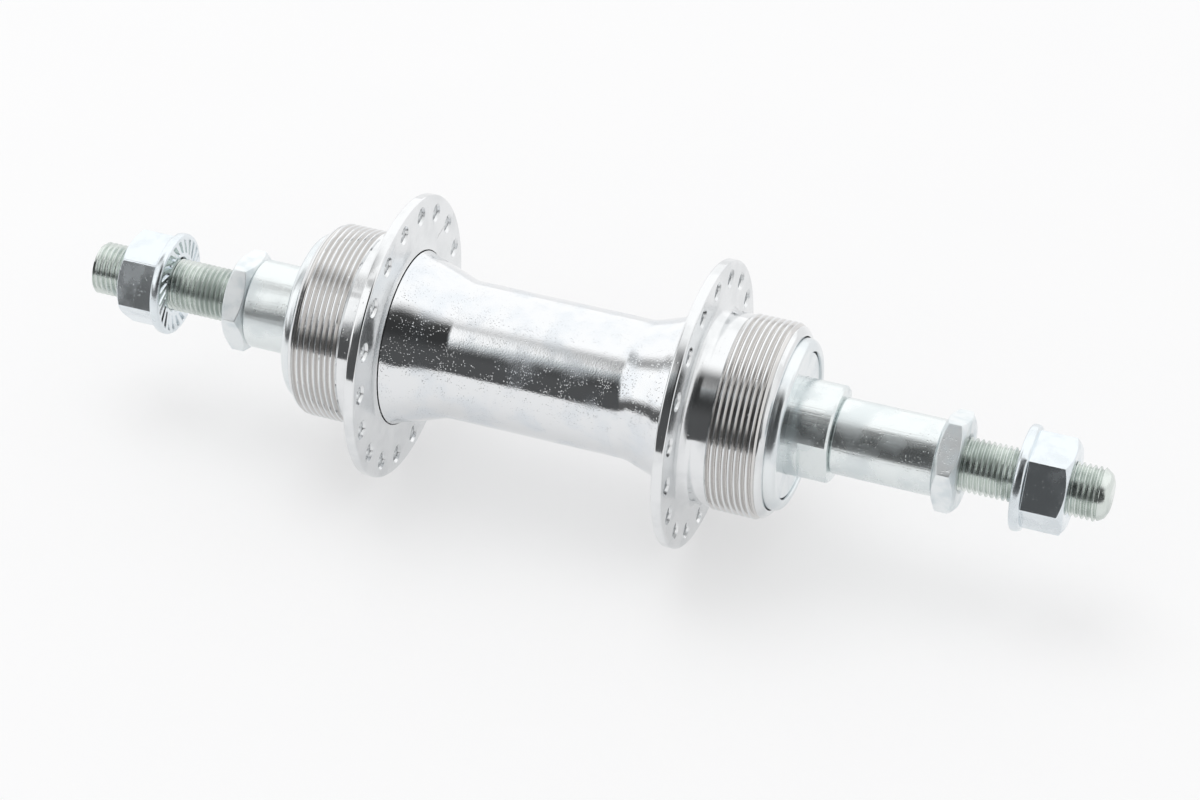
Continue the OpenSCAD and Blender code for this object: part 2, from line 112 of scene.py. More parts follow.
@dataclass(frozen=True)
class HubSizes:
    """Sizes that more than one piece uses, in millimetres, as in the solids."""

    axle_len: float = 188
    axle_d: float = 9.525
    axle_pitch: float = 0.977
    over_locknut_w: float = 135
    locknut_shift: float = 1
    flange_spacing: float = 56
    flange_shift: float = -6.5
    flange_t: float = 1.9
    boss_len: float = 14.65
    boss_chamfer: float = 1.1
    boss_pitch: float = 1.058
    boss_turns: int = 8
    barrel_seat: float = 3.4
    barrel_bore_r: float = 14.81
    cup_r: float = 15.2
    cup_end: float = 12.5
    dust_cap_proud: float = 1.95
    dust_cap_lip: float = 2.1
    shield_recess: float = 0.4
    shield_t: float = 1
    shield_gap: float = 0.15
    cone_r: float = 8.6
    left_cone_proud: float = 0.1
    right_cone_proud: float = 7
    locknut_t: float = 4
    nut_h: float = 9
    axle_proud: float = 6.7
    thread_gap: float = 0.05
    spacer_gap: float = 0.15

    def flange_x(self, side: Side) -> float:
        """Place of a flange's middle plane along the axle."""
        return self.flange_shift + side.value * self.flange_spacing / 2

    def locknut_x(self, side: Side) -> float:
        """Place of a locknut's outer face along the axle."""
        return self.locknut_shift + side.value * self.over_locknut_w / 2

    def nut_x(self, side: Side) -> float:
        """Place of an axle nut's toothed face along the axle."""
        return side.value * (self.axle_len / 2 - self.axle_proud - self.nut_h)

    @property
    def boss_end(self) -> float:
        """End of a boss, outboard of its flange's middle plane."""
        return self.flange_t / 2 + self.boss_len

    @property
    def thread_end(self) -> float:
        """End of the freewheel thread, outboard of the flange's middle plane."""
        return self.boss_end - self.boss_chamfer

    @property
    def thread_start(self) -> float:
        """Start of the freewheel thread, outboard of the flange's middle plane."""
        return self.thread_end - self.boss_turns * self.boss_pitch

    @property
    def dust_cap_face(self) -> float:
        """Outer face of a dust cap, outboard of the flange's middle plane."""
        return self.boss_end + self.dust_cap_proud

    @property
    def shield_face(self) -> float:
        """Outer face of a cone shield, outboard of the flange's middle plane."""
        return self.dust_cap_face - self.shield_recess

    def cone_end(self, side: Side) -> float:
        """Outer end of a cone's collar, outboard of the flange's middle plane."""
        proud = self.left_cone_proud if side is Side.LEFT else self.right_cone_proud
        return self.dust_cap_face + proud


def rounded(corners: Sequence[Corner], steps: int = 4) -> np.ndarray:
    """Rounds the corners of a profile.

    Args:
        corners: Points (place, radius from the axle, rounding) in order.
        steps: Straight steps in each rounding.

    Returns:
        The profile's points, one row each. The count depends only on which roundings are 0.
    """
    line: list[np.ndarray] = []
    for i, (u, r, rounding) in enumerate(corners):
        point = np.array([u, r], float)
        if rounding == 0 or i in (0, len(corners) - 1):
            line.append(point)
            continue
        back = np.array(corners[i - 1][:2], float) - point
        ahead = np.array(corners[i + 1][:2], float) - point
        back_len, ahead_len = np.hypot(*back), np.hypot(*ahead)
        back, ahead = back / back_len, ahead / ahead_len
        half = math.acos(float(np.clip(back @ ahead, -1, 1))) / 2
        share_back = EDGE_SHARE * rounding / (rounding + corners[i - 1][2])
        share_ahead = EDGE_SHARE * rounding / (rounding + corners[i + 1][2])
        reach = min(rounding / math.tan(half), share_back * back_len, share_ahead * ahead_len)
        radius = reach * math.tan(half)
        middle = back + ahead
        centre = point + middle / np.hypot(*middle) * radius / math.sin(half)
        first, last = point + back * reach - centre, point + ahead * reach - centre
        a0 = math.atan2(first[1], first[0])
        turn = (math.atan2(last[1], last[0]) - a0 + math.pi) % TAU - math.pi
        for step in range(steps + 1):
            a = a0 + turn * step / steps
            line.append(centre + radius * np.array([math.cos(a), math.sin(a)]))
    return np.array(line)


def even_columns(count: int, start: float = 0.0) -> np.ndarray:
    """Evenly spaced angles round the axle, in radians, from start."""
    return start + np.arange(count) * TAU / count


@dataclass
class Skin:
    """The faces of one piece while it is made, in millimetres, about the axle.

    Angles run from +Y towards +Z. A place u is counted outboard from x0 on the given side.
    """

    x0: float
    side: Side
    angles: np.ndarray
    points: list[np.ndarray] = field(default_factory=list)
    faces: list[np.ndarray] = field(default_factory=list)
    count: int = 0

    def grid(self, u: np.ndarray, r: np.ndarray, theta: np.ndarray | None = None,
             ahead: int = 0) -> None:
        """Adds rows of quads that run all the way round.

        Args:
            u: Outboard place of each row and column.
            r: Radius of each row and column.
            theta: Angle of each row and column, or None for the skin's own columns.
            ahead: How many rows further on the last column meets the first one, for a helix.
        """
        rows, columns = u.shape
        if theta is None:
            theta = np.broadcast_to(self.angles, u.shape)
        x = self.x0 + self.side.value * u
        cloud = np.stack([x, r * np.cos(theta), r * np.sin(theta)], -1).reshape(-1, 3)
        index = np.arange(rows * columns).reshape(rows, columns)
        following = np.roll(index, -1, axis=1)
        following[:, -1] = index[np.clip(np.arange(rows) + ahead, 0, rows - 1), 0]
        quads = np.stack([index[:-1], following[:-1], following[1:], index[1:]], -1)
        self.patch(cloud, quads.reshape(-1, 4))

    def patch(self, cloud: np.ndarray, quads: np.ndarray) -> None:
        """Adds loose points and the quads among them.

        Args:
            cloud: The points, one row each.
            quads: Numbers of each quad's four points, counted from the first of these points.
        """
        self.points.append(cloud)
        self.faces.append(quads + self.count)
        self.count += len(cloud)

    def lathe(self, corners: Sequence[Corner], steps: int = 4) -> None:
        """Turns one profile all the way round.

        Args:
            corners: The profile's corners, as in rounded.
            steps: Straight steps in each rounding.
        """
        line = rounded(corners, steps)
        shape = (len(line), len(self.angles))
        self.grid(np.broadcast_to(line[:, :1], shape), np.broadcast_to(line[:, 1:], shape))

    def sweep(self, corners_at: Callable[[int], Sequence[Corner]], steps: int = 4,
              twist: Callable[[np.ndarray], np.ndarray] | None = None) -> None:
        """Carries a profile round that changes from column to column.

        Args:
            corners_at: Gives a column's profile corners from its number.
            steps: Straight steps in each rounding.
            twist: Gives each point's extra angle from its radius, where there is one.
        """
        lines = np.stack([rounded(corners_at(c), steps) for c in range(len(self.angles))], 1)
        u, r = lines[..., 0], lines[..., 1]
        self.grid(u, r, None if twist is None else self.angles + twist(lines))

    def thread(self, start: float, end: float, pitch: float,
               radius: Callable[[np.ndarray, np.ndarray], np.ndarray],
               form: Sequence[Span]) -> None:
        """Adds a right-handed helical thread between two places.

        Args:
            start: Where the thread starts.
            end: Where it ends.
            pitch: Advance in one turn.
            radius: Gives the radius from the place and from the height within the thread.
            form: Points (share of the pitch, height) of one turn's profile.
        """
        hand = self.side.value
        turns = math.ceil((end - start) / pitch) + 2 * SPARE_TURNS
        share = np.array([p[0] for p in form])
        height = np.tile([p[1] for p in form], turns)
        base = (start + (np.arange(turns)[:, None] - SPARE_TURNS + share) * pitch).ravel()
        lead = hand * pitch * (self.angles - self.angles[0]) / TAU
        u = np.clip(base[:, None] + lead, start, end)
        self.grid(u, radius(u, np.broadcast_to(height[:, None], u.shape)), ahead=hand * len(form))

    def build(self, name: str, sharp: float) -> bpy.types.Object:
        """Makes the Blender object in metres.

        Args:
            name: The piece's name.
            sharp: Edges that turn by more than this many degrees stay crisp.

        Returns:
            The object, with smooth shading that keeps its flat faces flat.
        """
        mesh = bpy.data.meshes.new(name)
        mesh.from_pydata((np.concatenate(self.points) * MM).tolist(), [],
                         np.concatenate(self.faces).tolist())
        work = bmesh.new()
        work.from_mesh(mesh)
        bmesh.ops.remove_doubles(work, verts=work.verts, dist=MERGE)
        bmesh.ops.dissolve_degenerate(work, edges=work.edges, dist=MERGE)
        bmesh.ops.recalc_face_normals(work, faces=work.faces)
        work.to_mesh(mesh)
        work.free()
        mesh.shade_smooth()
        mesh.set_sharp_from_angle(angle=math.radians(sharp))
        piece = bpy.data.objects.new(name, mesh)
        bpy.context.scene.collection.objects.link(piece)
        weigh = piece.modifiers.new("flat faces stay flat", "WEIGHTED_NORMAL")
        weigh.keep_sharp = True
        weigh.weight = FLAT_FACE_WEIGHT
        return piece


@dataclass(frozen=True)
class Finish:
    """A surface finish. Lengths are in millimetres, colours are linear."""

    name: str
    colour: Colour
    worn: Colour
    roughness: float
    worn_roughness: float
    pit_cell: float = 0.5
    pit_share: float = 0.3
    pit_depth: float = 0.02
    grain_cell: float = 0.5
    grain_depth: float = 0.002
    ripple_cell: float = 5.0
    ripple_depth: float = 0.01
    turned_cell: float = 0.12
    turned_depth: float = 0.0
    drawn_depth: float = 0.0
    smudge_cell: float = 6.0
    # Darker, warmer grey for the thread's flanks and roots below its crests: painted shade in the
    # grooves, partly the thread's own duller finish
    thread_colour: Colour | None = None
    thread_roughness: float = 0.17
    plate_roughness: float = 0.22


class Board:
    """Places and wires the nodes of one node tree."""

    def __init__(self, tree: NodeTree) -> None:
        """Starts from an empty tree."""
        self.tree = tree
        tree.nodes.clear()

    def node(self, kind: str, inputs: dict | None = None, **settings: object) -> Node:
        """Adds a node.

        Args:
            kind: The node's type name.
            inputs: What goes into its sockets: an output socket or a plain value.
            **settings: The node's own settings.

        Returns:
            The new node.
        """
        made = self.tree.nodes.new(kind)
        for key, value in settings.items():
            setattr(made, key, value)
        for key, value in (inputs or {}).items():
            self.feed(made.inputs[key], value)
        return made

    def feed(self, socket: Socket, value: object) -> None:
        """Links an output socket to an input socket, or sets a plain value on it.

        Args:
            socket: The input socket.
            value: The output socket or the plain value.
        """
        if isinstance(value, Socket):
            self.tree.links.new(value, socket)
        else:
            socket.default_value = value

    def math(self, operation: str, *values: object) -> Socket:
        """Adds a Math node on the given values and returns its output."""
        return self.node("ShaderNodeMath", dict(enumerate(values)), operation=operation).outputs[0]

    def ramp(self, value: object, low: object, high: object, to_low: float = 0.0,
             to_high: float = 1.0) -> Socket:
        """Maps a value smoothly from one span to another, without overshoot.

        Args:
            value: The value.
            low: Start of its span.
            high: End of its span.
            to_low: What comes out up to the start.
            to_high: What comes out from the end on.

        Returns:
            The mapped value.
        """
        ends = {"Value": value, "From Min": low, "From Max": high, "To Min": to_low,
                "To Max": to_high}
        return self.node("ShaderNodeMapRange", ends,
                         interpolation_type="SMOOTHSTEP").outputs["Result"]

    def blend(self, factor: object, first: object, second: object) -> Socket:
        """Mixes two colours.

        Args:
            factor: 0 for the first, 1 for the second.
            first: The first colour.
            second: The second colour.

        Returns:
            The mixed colour.
        """
        made = self.node("ShaderNodeMix", data_type="RGBA")
        for socket, value in ((0, factor), (6, first), (7, second)):
            self.feed(made.inputs[socket], value if not isinstance(value, tuple) else (*value, 1))
        return made.outputs[2]


class Effect(Enum):
    """Surface effects that several finishes share, each a node group with one mask."""

    PITS = "hub pits"
    GRAIN = "hub grain"
    TURNED = "hub turning marks"
    DRAWN = "hub drawing marks"
    BAND = "hub band along the axle"
    INSIDE = "hub inside a radius"


@dataclass
class EffectShelf:
    """Builds each shared node group once.

    Cell sizes are in millimetres, all other lengths that go into a group in metres.
    """

    groups: dict[Effect, NodeTree] = field(default_factory=dict)
    patch_scale: float = 0.1
    patch_span: Span = (0.4, 0.6)
    pit_size: Span = (0.35, 0.15)
    streak_stretch: Triple = (0.06, 1.0, 1.0)
    streak_span: Span = (0.46, 0.7)

    def group(self, effect: Effect) -> NodeTree:
        """Gives an effect's node group: a Vector input, the numbers it needs, a Mask output.

        Args:
            effect: The effect.

        Returns:
            Its group, made on first use.
        """
        if effect not in self.groups:
            numbers, maker = {
                Effect.PITS: (("Cell", "Share"), self._pits),
                Effect.GRAIN: (("Cell", "Detail"), self._grain),
                Effect.TURNED: (("Cell",), self._turned),
                Effect.DRAWN: (("Cell",), self._drawn),
                Effect.BAND: (("Middle", "Start", "End"), self._band),
                Effect.INSIDE: (("From", "To"), self._inside),
            }[effect]
            tree = bpy.data.node_groups.new(effect.value, "ShaderNodeTree")
            board, sockets = Board(tree), tree.interface
            sockets.new_socket("Vector", in_out="INPUT", socket_type="NodeSocketVector")
            for name in numbers:
                sockets.new_socket(name, in_out="INPUT", socket_type="NodeSocketFloat")
            sockets.new_socket("Mask", in_out="OUTPUT", socket_type="NodeSocketFloat")
            given = board.node("NodeGroupInput")
            board.node("NodeGroupOutput", {"Mask": maker(board, given)})
            self.groups[effect] = tree
        return self.groups[effect]

    @staticmethod
    def _scale(board: Board, given: Node) -> Socket:
        """Turns the group's cell size in millimetres into a texture's scale."""
        return board.math("DIVIDE", 1 / MM, given.outputs["Cell"])

    @staticmethod
    def _noise(board: Board, place: Socket, scale: Socket, detail: object) -> Socket:
        """Adds a noise texture and returns its value."""
        return board.node("ShaderNodeTexNoise", {"Vector": place, "Scale": scale,
                                                 "Detail": detail}).outputs["Fac"]

    @staticmethod
    def _split(board: Board, given: Node) -> Node:
        """Splits the group's Vector."""
        return board.node("ShaderNodeSeparateXYZ", {"Vector": given.outputs["Vector"]})

    @staticmethod
    def _radius(board: Board, split: Node) -> Socket:
        """Works out the distance from the axle's middle line.

        Args:
            board: The group's board.
            split: The node that splits the Vector.

        Returns:
            The distance.
        """
        y, z = split.outputs["Y"], split.outputs["Z"]
        square = board.math("ADD", board.math("MULTIPLY", y, y), board.math("MULTIPLY", z, z))
        return board.math("SQRT", square)

    def _pits(self, board: Board, given: Node) -> Socket:
        """Scattered small round pits that gather in patches.

        Args:
            board: The group's board.
            given: Its input node.

        Returns:
            How deep the surface lies in a pit.
        """
        place, scale = given.outputs["Vector"], self._scale(board, given)
        cells = board.node("ShaderNodeTexVoronoi", {"Vector": place, "Scale": scale})
        coarse = board.math("MULTIPLY", scale, self.patch_scale)
        patches = self._noise(board, place, coarse, 2.0)
        pick = board.node("ShaderNodeSeparateColor", {"Color": cells.outputs["Color"]})
        limit = board.math("MULTIPLY", board.ramp(patches, *self.patch_span),
                           given.outputs["Share"])
        chosen = board.math("LESS_THAN", pick.outputs["Red"], limit)
        size = board.math("MULTIPLY_ADD", pick.outputs["Green"], *self.pit_size)
        hollow = board.ramp(cells.outputs["Distance"], 0.0, size, 1.0, 0.0)
        return board.math("MULTIPLY", hollow, chosen)

    def _grain(self, board: Board, given: Node) -> Socket:
        """Uneven noise of one size."""
        return self._noise(board, given.outputs["Vector"], self._scale(board, given),
                           given.outputs["Detail"])

    def _turned(self, board: Board, given: Node) -> Socket:
        """Fine rings round the axle that a lathe leaves.

        Args:
            board: The group's board.
            given: Its input node.

        Returns:
            The rings' height.
        """
        split = self._split(board, given)
        way = board.math("ADD", split.outputs["X"], self._radius(board, split))
        across = board.math("DIVIDE", way, board.math("MULTIPLY", given.outputs["Cell"], MM))
        return board.node("ShaderNodeTexNoise", {"W": across, "Scale": 1.0, "Detail": 3.0},
                          noise_dimensions="1D").outputs["Fac"]

    def _drawn(self, board: Board, given: Node) -> Socket:
        """Streaks and scratches that run along the axle.

        Args:
            board: The group's board.
            given: Its input node.

        Returns:
            Where the streaks are.
        """
        long = board.node("ShaderNodeVectorMath", {0: given.outputs["Vector"],
                                                   1: self.streak_stretch}, operation="MULTIPLY")
        streaks = self._noise(board, long.outputs[0], self._scale(board, given), 4.0)
        return board.ramp(streaks, *self.streak_span)

    def _inside(self, board: Board, given: Node) -> Socket:
        """One nearer to the axle's middle line than From, zero beyond To."""
        radius = self._radius(board, self._split(board, given))
        return board.ramp(radius, given.outputs["From"], given.outputs["To"], 1.0, 0.0)

    def _band(self, board: Board, given: Node) -> Socket:
        """One between two distances from a place on the axle, zero elsewhere.

        Args:
            board: The group's board.
            given: Its input node.

        Returns:
            The mask.
        """
        along = self._split(board, given).outputs["X"]
        away = board.math("ABSOLUTE", board.math("SUBTRACT", along, given.outputs["Middle"]))
        after = board.math("GREATER_THAN", away, given.outputs["Start"])
        before = board.math("LESS_THAN", away, given.outputs["End"])
        return board.math("MULTIPLY", after, before)


@dataclass
class FinishShop:
    """Makes the materials from their finishes. Lengths are in millimetres."""

    sizes: HubSizes
    smudge_span: Span = (0.42, 0.68)
    # Radii over which the painted shade in the thread's grooves fades out towards its crests
    groove_fade: Span = (17.25, 17.42)
    plate_span: Span = (-3.0, 2.3)
    plate_fade: Span = (25.2, 25.3)
    scratch_cell: float = 0.5
    shelf: EffectShelf = field(default_factory=EffectShelf)
    made: dict[str, Material] = field(default_factory=dict)

    def effect(self, board: Board, effect: Effect, vector: Socket,
               **numbers: float) -> Socket:
        """Places an effect's group and returns its mask.

        Args:
            board: The material's board.
            effect: Which effect.
            vector: The coordinates it uses.
            **numbers: Its number inputs.

        Returns:
            The mask's socket.
        """
        made = board.node("ShaderNodeGroup", node_tree=self.shelf.group(effect))
        board.feed(made.inputs["Vector"], vector)
        for name, value in numbers.items():
            made.inputs[name].default_value = value
        return made.outputs["Mask"]

    def ring(self, board: Board, place: Socket, span: Span, fade: Span) -> Socket:
        """Masks a ring on each flange.

        Args:
            board: The material's board.
            place: The coordinates it uses.
            span: Where it starts and ends, outboard of the flange's middle plane.
            fade: The radii between which it fades out.

        Returns:
            The mask's socket.
        """
        half = self.sizes.flange_spacing / 2
        band = self.effect(board, Effect.BAND, place, Middle=self.sizes.flange_shift * MM,
                           Start=(half + span[0]) * MM, End=(half + span[1]) * MM)
        inside = self.effect(board, Effect.INSIDE, place, From=fade[0] * MM, To=fade[1] * MM)
        return board.math("MULTIPLY", band, inside)

    def relief(self, board: Board, place: Socket, finish: Finish) -> Socket:
        """Adds up the pits, grain, waviness and tool marks of a finish.

        Args:
            board: The material's board.
            place: The coordinates it uses.
            finish: The finish.

        Returns:
            The height, in millimetres.
        """
        layers = [
            (Effect.PITS, {"Cell": finish.pit_cell, "Share": finish.pit_share},
             -finish.pit_depth),
            (Effect.GRAIN, {"Cell": finish.grain_cell, "Detail": 3.0}, finish.grain_depth),
            (Effect.GRAIN, {"Cell": finish.ripple_cell, "Detail": 1.0}, finish.ripple_depth),
            (Effect.TURNED, {"Cell": finish.turned_cell}, finish.turned_depth),
            (Effect.DRAWN, {"Cell": self.scratch_cell}, -finish.drawn_depth),
        ]
        height: object = 0.0
        for effect, numbers, depth in layers:
            if depth:
                mask = self.effect(board, effect, place, **numbers)
                height = board.math("MULTIPLY_ADD", mask, depth, height)
        return height

    def material(self, finish: Finish) -> Material:
        """Gives a finish's material.

        Args:
            finish: The finish.

        Returns:
            Plated metal with pits, grain, waviness and smudges, made on first use.
        """
        if finish.name in self.made:
            return self.made[finish.name]
        made = bpy.data.materials.new(finish.name)
        made.use_nodes = True
        board = Board(made.node_tree)
        place = board.node("ShaderNodeTexCoord").outputs["Object"]
        smudge = board.ramp(self.effect(board, Effect.GRAIN, place, Cell=finish.smudge_cell,
                                        Detail=5.0), *self.smudge_span)
        colour = board.blend(smudge, finish.colour, finish.worn)
        roughness = board.math("MULTIPLY_ADD", smudge,
                               finish.worn_roughness - finish.roughness, finish.roughness)
        # The thread's flanks and roots take a darker colour than its crests: painted shade in the
        # grooves, partly the thread's own duller finish
        if finish.thread_colour is not None:
            threads = (self.sizes.thread_start, self.sizes.thread_end)
            groove = self.ring(board, place, threads, self.groove_fade)
            plate = self.ring(board, place, self.plate_span, self.plate_fade)
            colour = board.blend(groove, colour, finish.thread_colour)
            roughness = board.math("MAXIMUM", roughness, board.math(
                "MAXIMUM", board.math("MULTIPLY", groove, finish.thread_roughness),
                board.math("MULTIPLY", plate, finish.plate_roughness)))
        bump = board.node("ShaderNodeBump", {"Height": self.relief(board, place, finish),
                                             "Strength": 1.0, "Distance": MM})
        shader = board.node("ShaderNodeBsdfPrincipled", {
            "Base Color": colour, "Roughness": roughness, "Metallic": 1.0,
            "Normal": bump.outputs["Normal"]})
        board.node("ShaderNodeOutputMaterial", {"Surface": shader.outputs["BSDF"]})
        self.made[finish.name] = made
        return made


# Points (share of the pitch, height) of one turn of each thread
BOSS_THREAD = ((0.0, 0.0), (0.1, 0.0), (0.15, 0.08), (0.4, 0.86), (0.47, 1.0), (0.67, 1.0),
               (0.74, 0.86), (0.97, 0.08))
AXLE_THREAD = ((0.0, 0.03), (0.06, 0.0), (0.12, 0.03), (0.2, 0.2), (0.43, 0.86), (0.5, 1.0),
               (0.62, 1.0), (0.69, 0.86), (0.92, 0.2))

CHROME = Finish("bright chrome", (0.80, 0.812, 0.823), (0.75, 0.78, 0.81), 0.05, 0.2,
                pit_cell=0.31, pit_share=0.9, pit_depth=0.045, grain_cell=0.28,
                grain_depth=0.011, ripple_cell=4.5, ripple_depth=0.014)
# Its groove colour is painted shade in the thread's grooves, partly the thread's own duller finish
FLANGE_CHROME = Finish("turned chrome", (0.80, 0.812, 0.82), (0.72, 0.735, 0.745), 0.07, 0.16,
                       pit_cell=0.5, pit_share=0.2, pit_depth=0.015, grain_cell=0.5,
                       grain_depth=0.0025, ripple_cell=5.0, ripple_depth=0.012,
                       turned_depth=0.0012, thread_colour=(0.68, 0.67, 0.66))
CAP_CHROME = Finish("cap chrome", (0.80, 0.83, 0.84), (0.73, 0.77, 0.79), 0.17, 0.26,
                    pit_cell=0.5, pit_share=0.12, grain_depth=0.002)
ZINC = Finish("clear zinc", (0.80, 0.84, 0.84), (0.73, 0.78, 0.79), 0.22, 0.36,
              pit_cell=0.4, pit_share=0.7, pit_depth=0.03, grain_cell=0.35,
              grain_depth=0.008, drawn_depth=0.008)
LOCKNUT_ZINC = Finish("matt zinc", (0.86, 0.89, 0.90), (0.78, 0.83, 0.85), 0.42, 0.55,
                      pit_cell=0.35, pit_share=0.8, pit_depth=0.04, grain_cell=0.4,
                      grain_depth=0.012, smudge_cell=3.0)
NUT_ZINC = Finish("nut zinc", (0.78, 0.83, 0.86), (0.72, 0.77, 0.80), 0.15, 0.3,
                  pit_cell=0.35, pit_share=0.4, pit_depth=0.02, grain_cell=0.35,
                  grain_depth=0.005, ripple_depth=0.004, smudge_cell=4.0)
AXLE_STEEL = Finish("dull zinc", (0.70, 0.745, 0.715), (0.52, 0.57, 0.54), 0.2, 0.34,
                    pit_cell=0.35, pit_share=0.3, pit_depth=0.02, grain_cell=0.3,
                    grain_depth=0.004)
BEARING_STEEL = Finish("ground steel", (0.56, 0.56, 0.58), (0.42, 0.42, 0.43), 0.2, 0.35,
                       turned_depth=0.002)
BALL_STEEL = Finish("polished steel", (0.72, 0.72, 0.74), (0.66, 0.66, 0.68), 0.04, 0.08,
                    pit_share=0.05, ripple_depth=0.0)


@dataclass
class Workshop:
    """Turns skins into dressed pieces that ride on their bodies."""

    shop: FinishShop
    bodies: dict[str, str] = field(default_factory=dict)

    def __post_init__(self) -> None:
        """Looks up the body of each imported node."""
        for body, nodes in frame["record"]["behaviour"]["bodies"].items():
            self.bodies.update({node: body for node in nodes})

    def fit(self, skin: Skin, node: str, finish: Finish, slot: Slot,
            sharp: float = CRISP_TURNED) -> bpy.types.Object:
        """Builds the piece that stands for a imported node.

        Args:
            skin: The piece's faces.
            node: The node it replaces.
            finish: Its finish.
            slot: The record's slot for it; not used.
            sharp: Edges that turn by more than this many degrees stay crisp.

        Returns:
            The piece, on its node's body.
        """
        piece = skin.build(f"{node}_piece", sharp)
        piece.data.materials.append(self.shop.material(finish))
        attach(piece, self.bodies[node])
        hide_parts(node)
        LOG.info("%s: %d faces", piece.name, len(piece.data.polygons))
        return piece

    def dress(self, node: str, finish: Finish) -> None:
        """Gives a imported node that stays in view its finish.

        Args:
            node: The node.
            finish: Its finish.
        """
        solid = frame["nodes"][node]
        solid.data.materials.clear()
        solid.data.materials.append(self.shop.material(finish))
        LOG.info("%s: kept from the solids", node)


@dataclass
class HubShell:
    """The barrel, the two threaded flanges and their dust caps."""

    sizes: HubSizes
    workshop: Workshop
    flange_d: float = 51.4
    rim_round: float = 0.4
    mouth: float = 0.22
    mouth_depth: float = 0.9
    nose_step: Corner = (0.12, 0.25, 0.12)
    nose_form: tuple[Corner, ...] = ((0.3, 0.75, 0.35), (0.0, 0.4, 0.3))
    face_gap: float = 0.1
    rim_gap: float = 0.05
    lip_t: float = 0.12
    spoke_holes: int = 18
    spoke_edge: float = 3.2
    spoke_hole_d: float = 2.7
    hole_round: float = 0.15
    countersink: float = 0.42
    hole_angles: Span = (10.0, 0.5)
    neck_fillet: float = 2.0
    neck_r: float = 15.11
    fillet_steps: int = 9
    bell_start: float = 1.5
    bell_reach: float = 3.2
    bell_h: float = 0.95
    bell_gap: float = 0.08
    boss_r: float = 17.46
    thread_depth: float = 0.645
    shoulder_r: float = 17.15
    shoulder_fillet: float = 1.8
    shoulder_len: float = 2.2
    run_in: float = 0.3
    run_in_slopes: Span = (0.9, 1.2)
    rib_h: float = 1.2
    rib_end: float = 4.5
    waist_r: float = 12.45
    flare_r: float = 14.8
    barrel_wall: float = 1.2
    flare_straight: float = 3.2
    flare_taper: float = 9.2
    flare_bend: float = 0.25
    flare_steps: int = 48
    bell_steps: int = 8
    dust_cap_t: float = 1.0
    dust_cap_round: float = 1.3
    columns: int = 288
    sector_columns: int = 16
    sector_rows: int = 12

    def build(self) -> None:
        """Builds all pieces of the shell."""
        self.barrel()
        for side in Side:
            self.flange(side)
            self.dust_cap(side)

    def barrel(self) -> None:
        """The drawn tube, narrow in the middle and flared at both ends."""
        sizes = self.sizes
        half = sizes.flange_spacing / 2
        steps = np.linspace(0, 1, self.flare_steps + 1)
        first = np.minimum(steps, 1 - steps)
        bend = self.flare_bend
        eased = np.where(first < bend, first**2 / (2 * bend * (1 - bend)),
                         (first - bend / 2) / (1 - bend))
        swell = np.where(steps < 0.5, 1 - eased, eased)
        taper_r = self.waist_r + (self.flare_r - self.waist_r) * swell
        inboard = self.flare_straight + self.flare_taper * steps
        near = np.linspace(self.bell_start, self.flare_straight, self.bell_steps + 1)[:-1]
        inboard = np.concatenate([near, inboard])
        bell = np.clip(1 - (inboard - self.bell_start) / self.bell_reach, 0, 1) ** 2
        outer_r = np.concatenate([np.full(len(near), self.flare_r), taper_r]) + self.bell_h * bell
        right = [(half + sizes.barrel_seat, self.flare_r), (half - self.bell_start, self.flare_r),
                 *zip(half - inboard, outer_r)]
        line = [(-u, r) for u, r in right] + right[::-1]
        outer = [(u, r, 0.0) for u, r in line]
        inner = [(u, r - self.barrel_wall, 0.0) for u, r, _ in reversed(outer)]
        skin = Skin(sizes.flange_shift, Side.RIGHT, even_columns(self.columns))
        skin.lathe([*outer, *inner, outer[0]])
        self.workshop.fit(skin, "hub_barrel", CHROME, Slot.SHELL)

    @property
    def thread_x(self) -> float:
        """Start of the freewheel thread's run-in, outboard of the flange's middle plane."""
        return self.sizes.thread_start - self.run_in

    def boss_radius(self, u: np.ndarray, height: np.ndarray) -> np.ndarray:
        """Radius of the threaded boss.

        Args:
            u: Outboard places.
            height: Heights within the thread, from 0 to 1.

        Returns:
            The radii, with a run-in from the shoulder and a root-high end.
        """
        root, after = self.boss_r - self.thread_depth, u - self.thread_x
        rise, fall = self.run_in_slopes
        r = np.minimum(root + self.thread_depth * height, self.shoulder_r + rise * after)
        r = np.maximum(r, self.shoulder_r - fall * after)
        return np.clip(np.minimum(r, root + (self.sizes.thread_end - u)), root, None)

    def neck(self, half: float) -> list[Corner]:
        """The lip and the fillet of a flange on its inboard side, where the barrel ends.

        Args:
            half: Half of the flange's thickness.

        Returns:
            The profile's corners, from the lip to the flange's face.
        """
        fillet, start = self.neck_fillet, self.bell_gap - self.bell_start
        fillet_r, rise = self.neck_r + fillet, fillet - abs(start + half)
        lip_r = fillet_r - math.sqrt(fillet**2 - rise**2) - self.lip_t
        curve = [(-half - fillet * (1 - math.sin(a)), fillet_r - fillet * math.cos(a), 0.0)
                 for a in np.linspace(math.asin(rise / fillet), math.pi / 2,
                                      self.fillet_steps + 1)]
        return [(start, self.sizes.barrel_bore_r, 0), (start, lip_r, self.lip_t / 2), *curve]

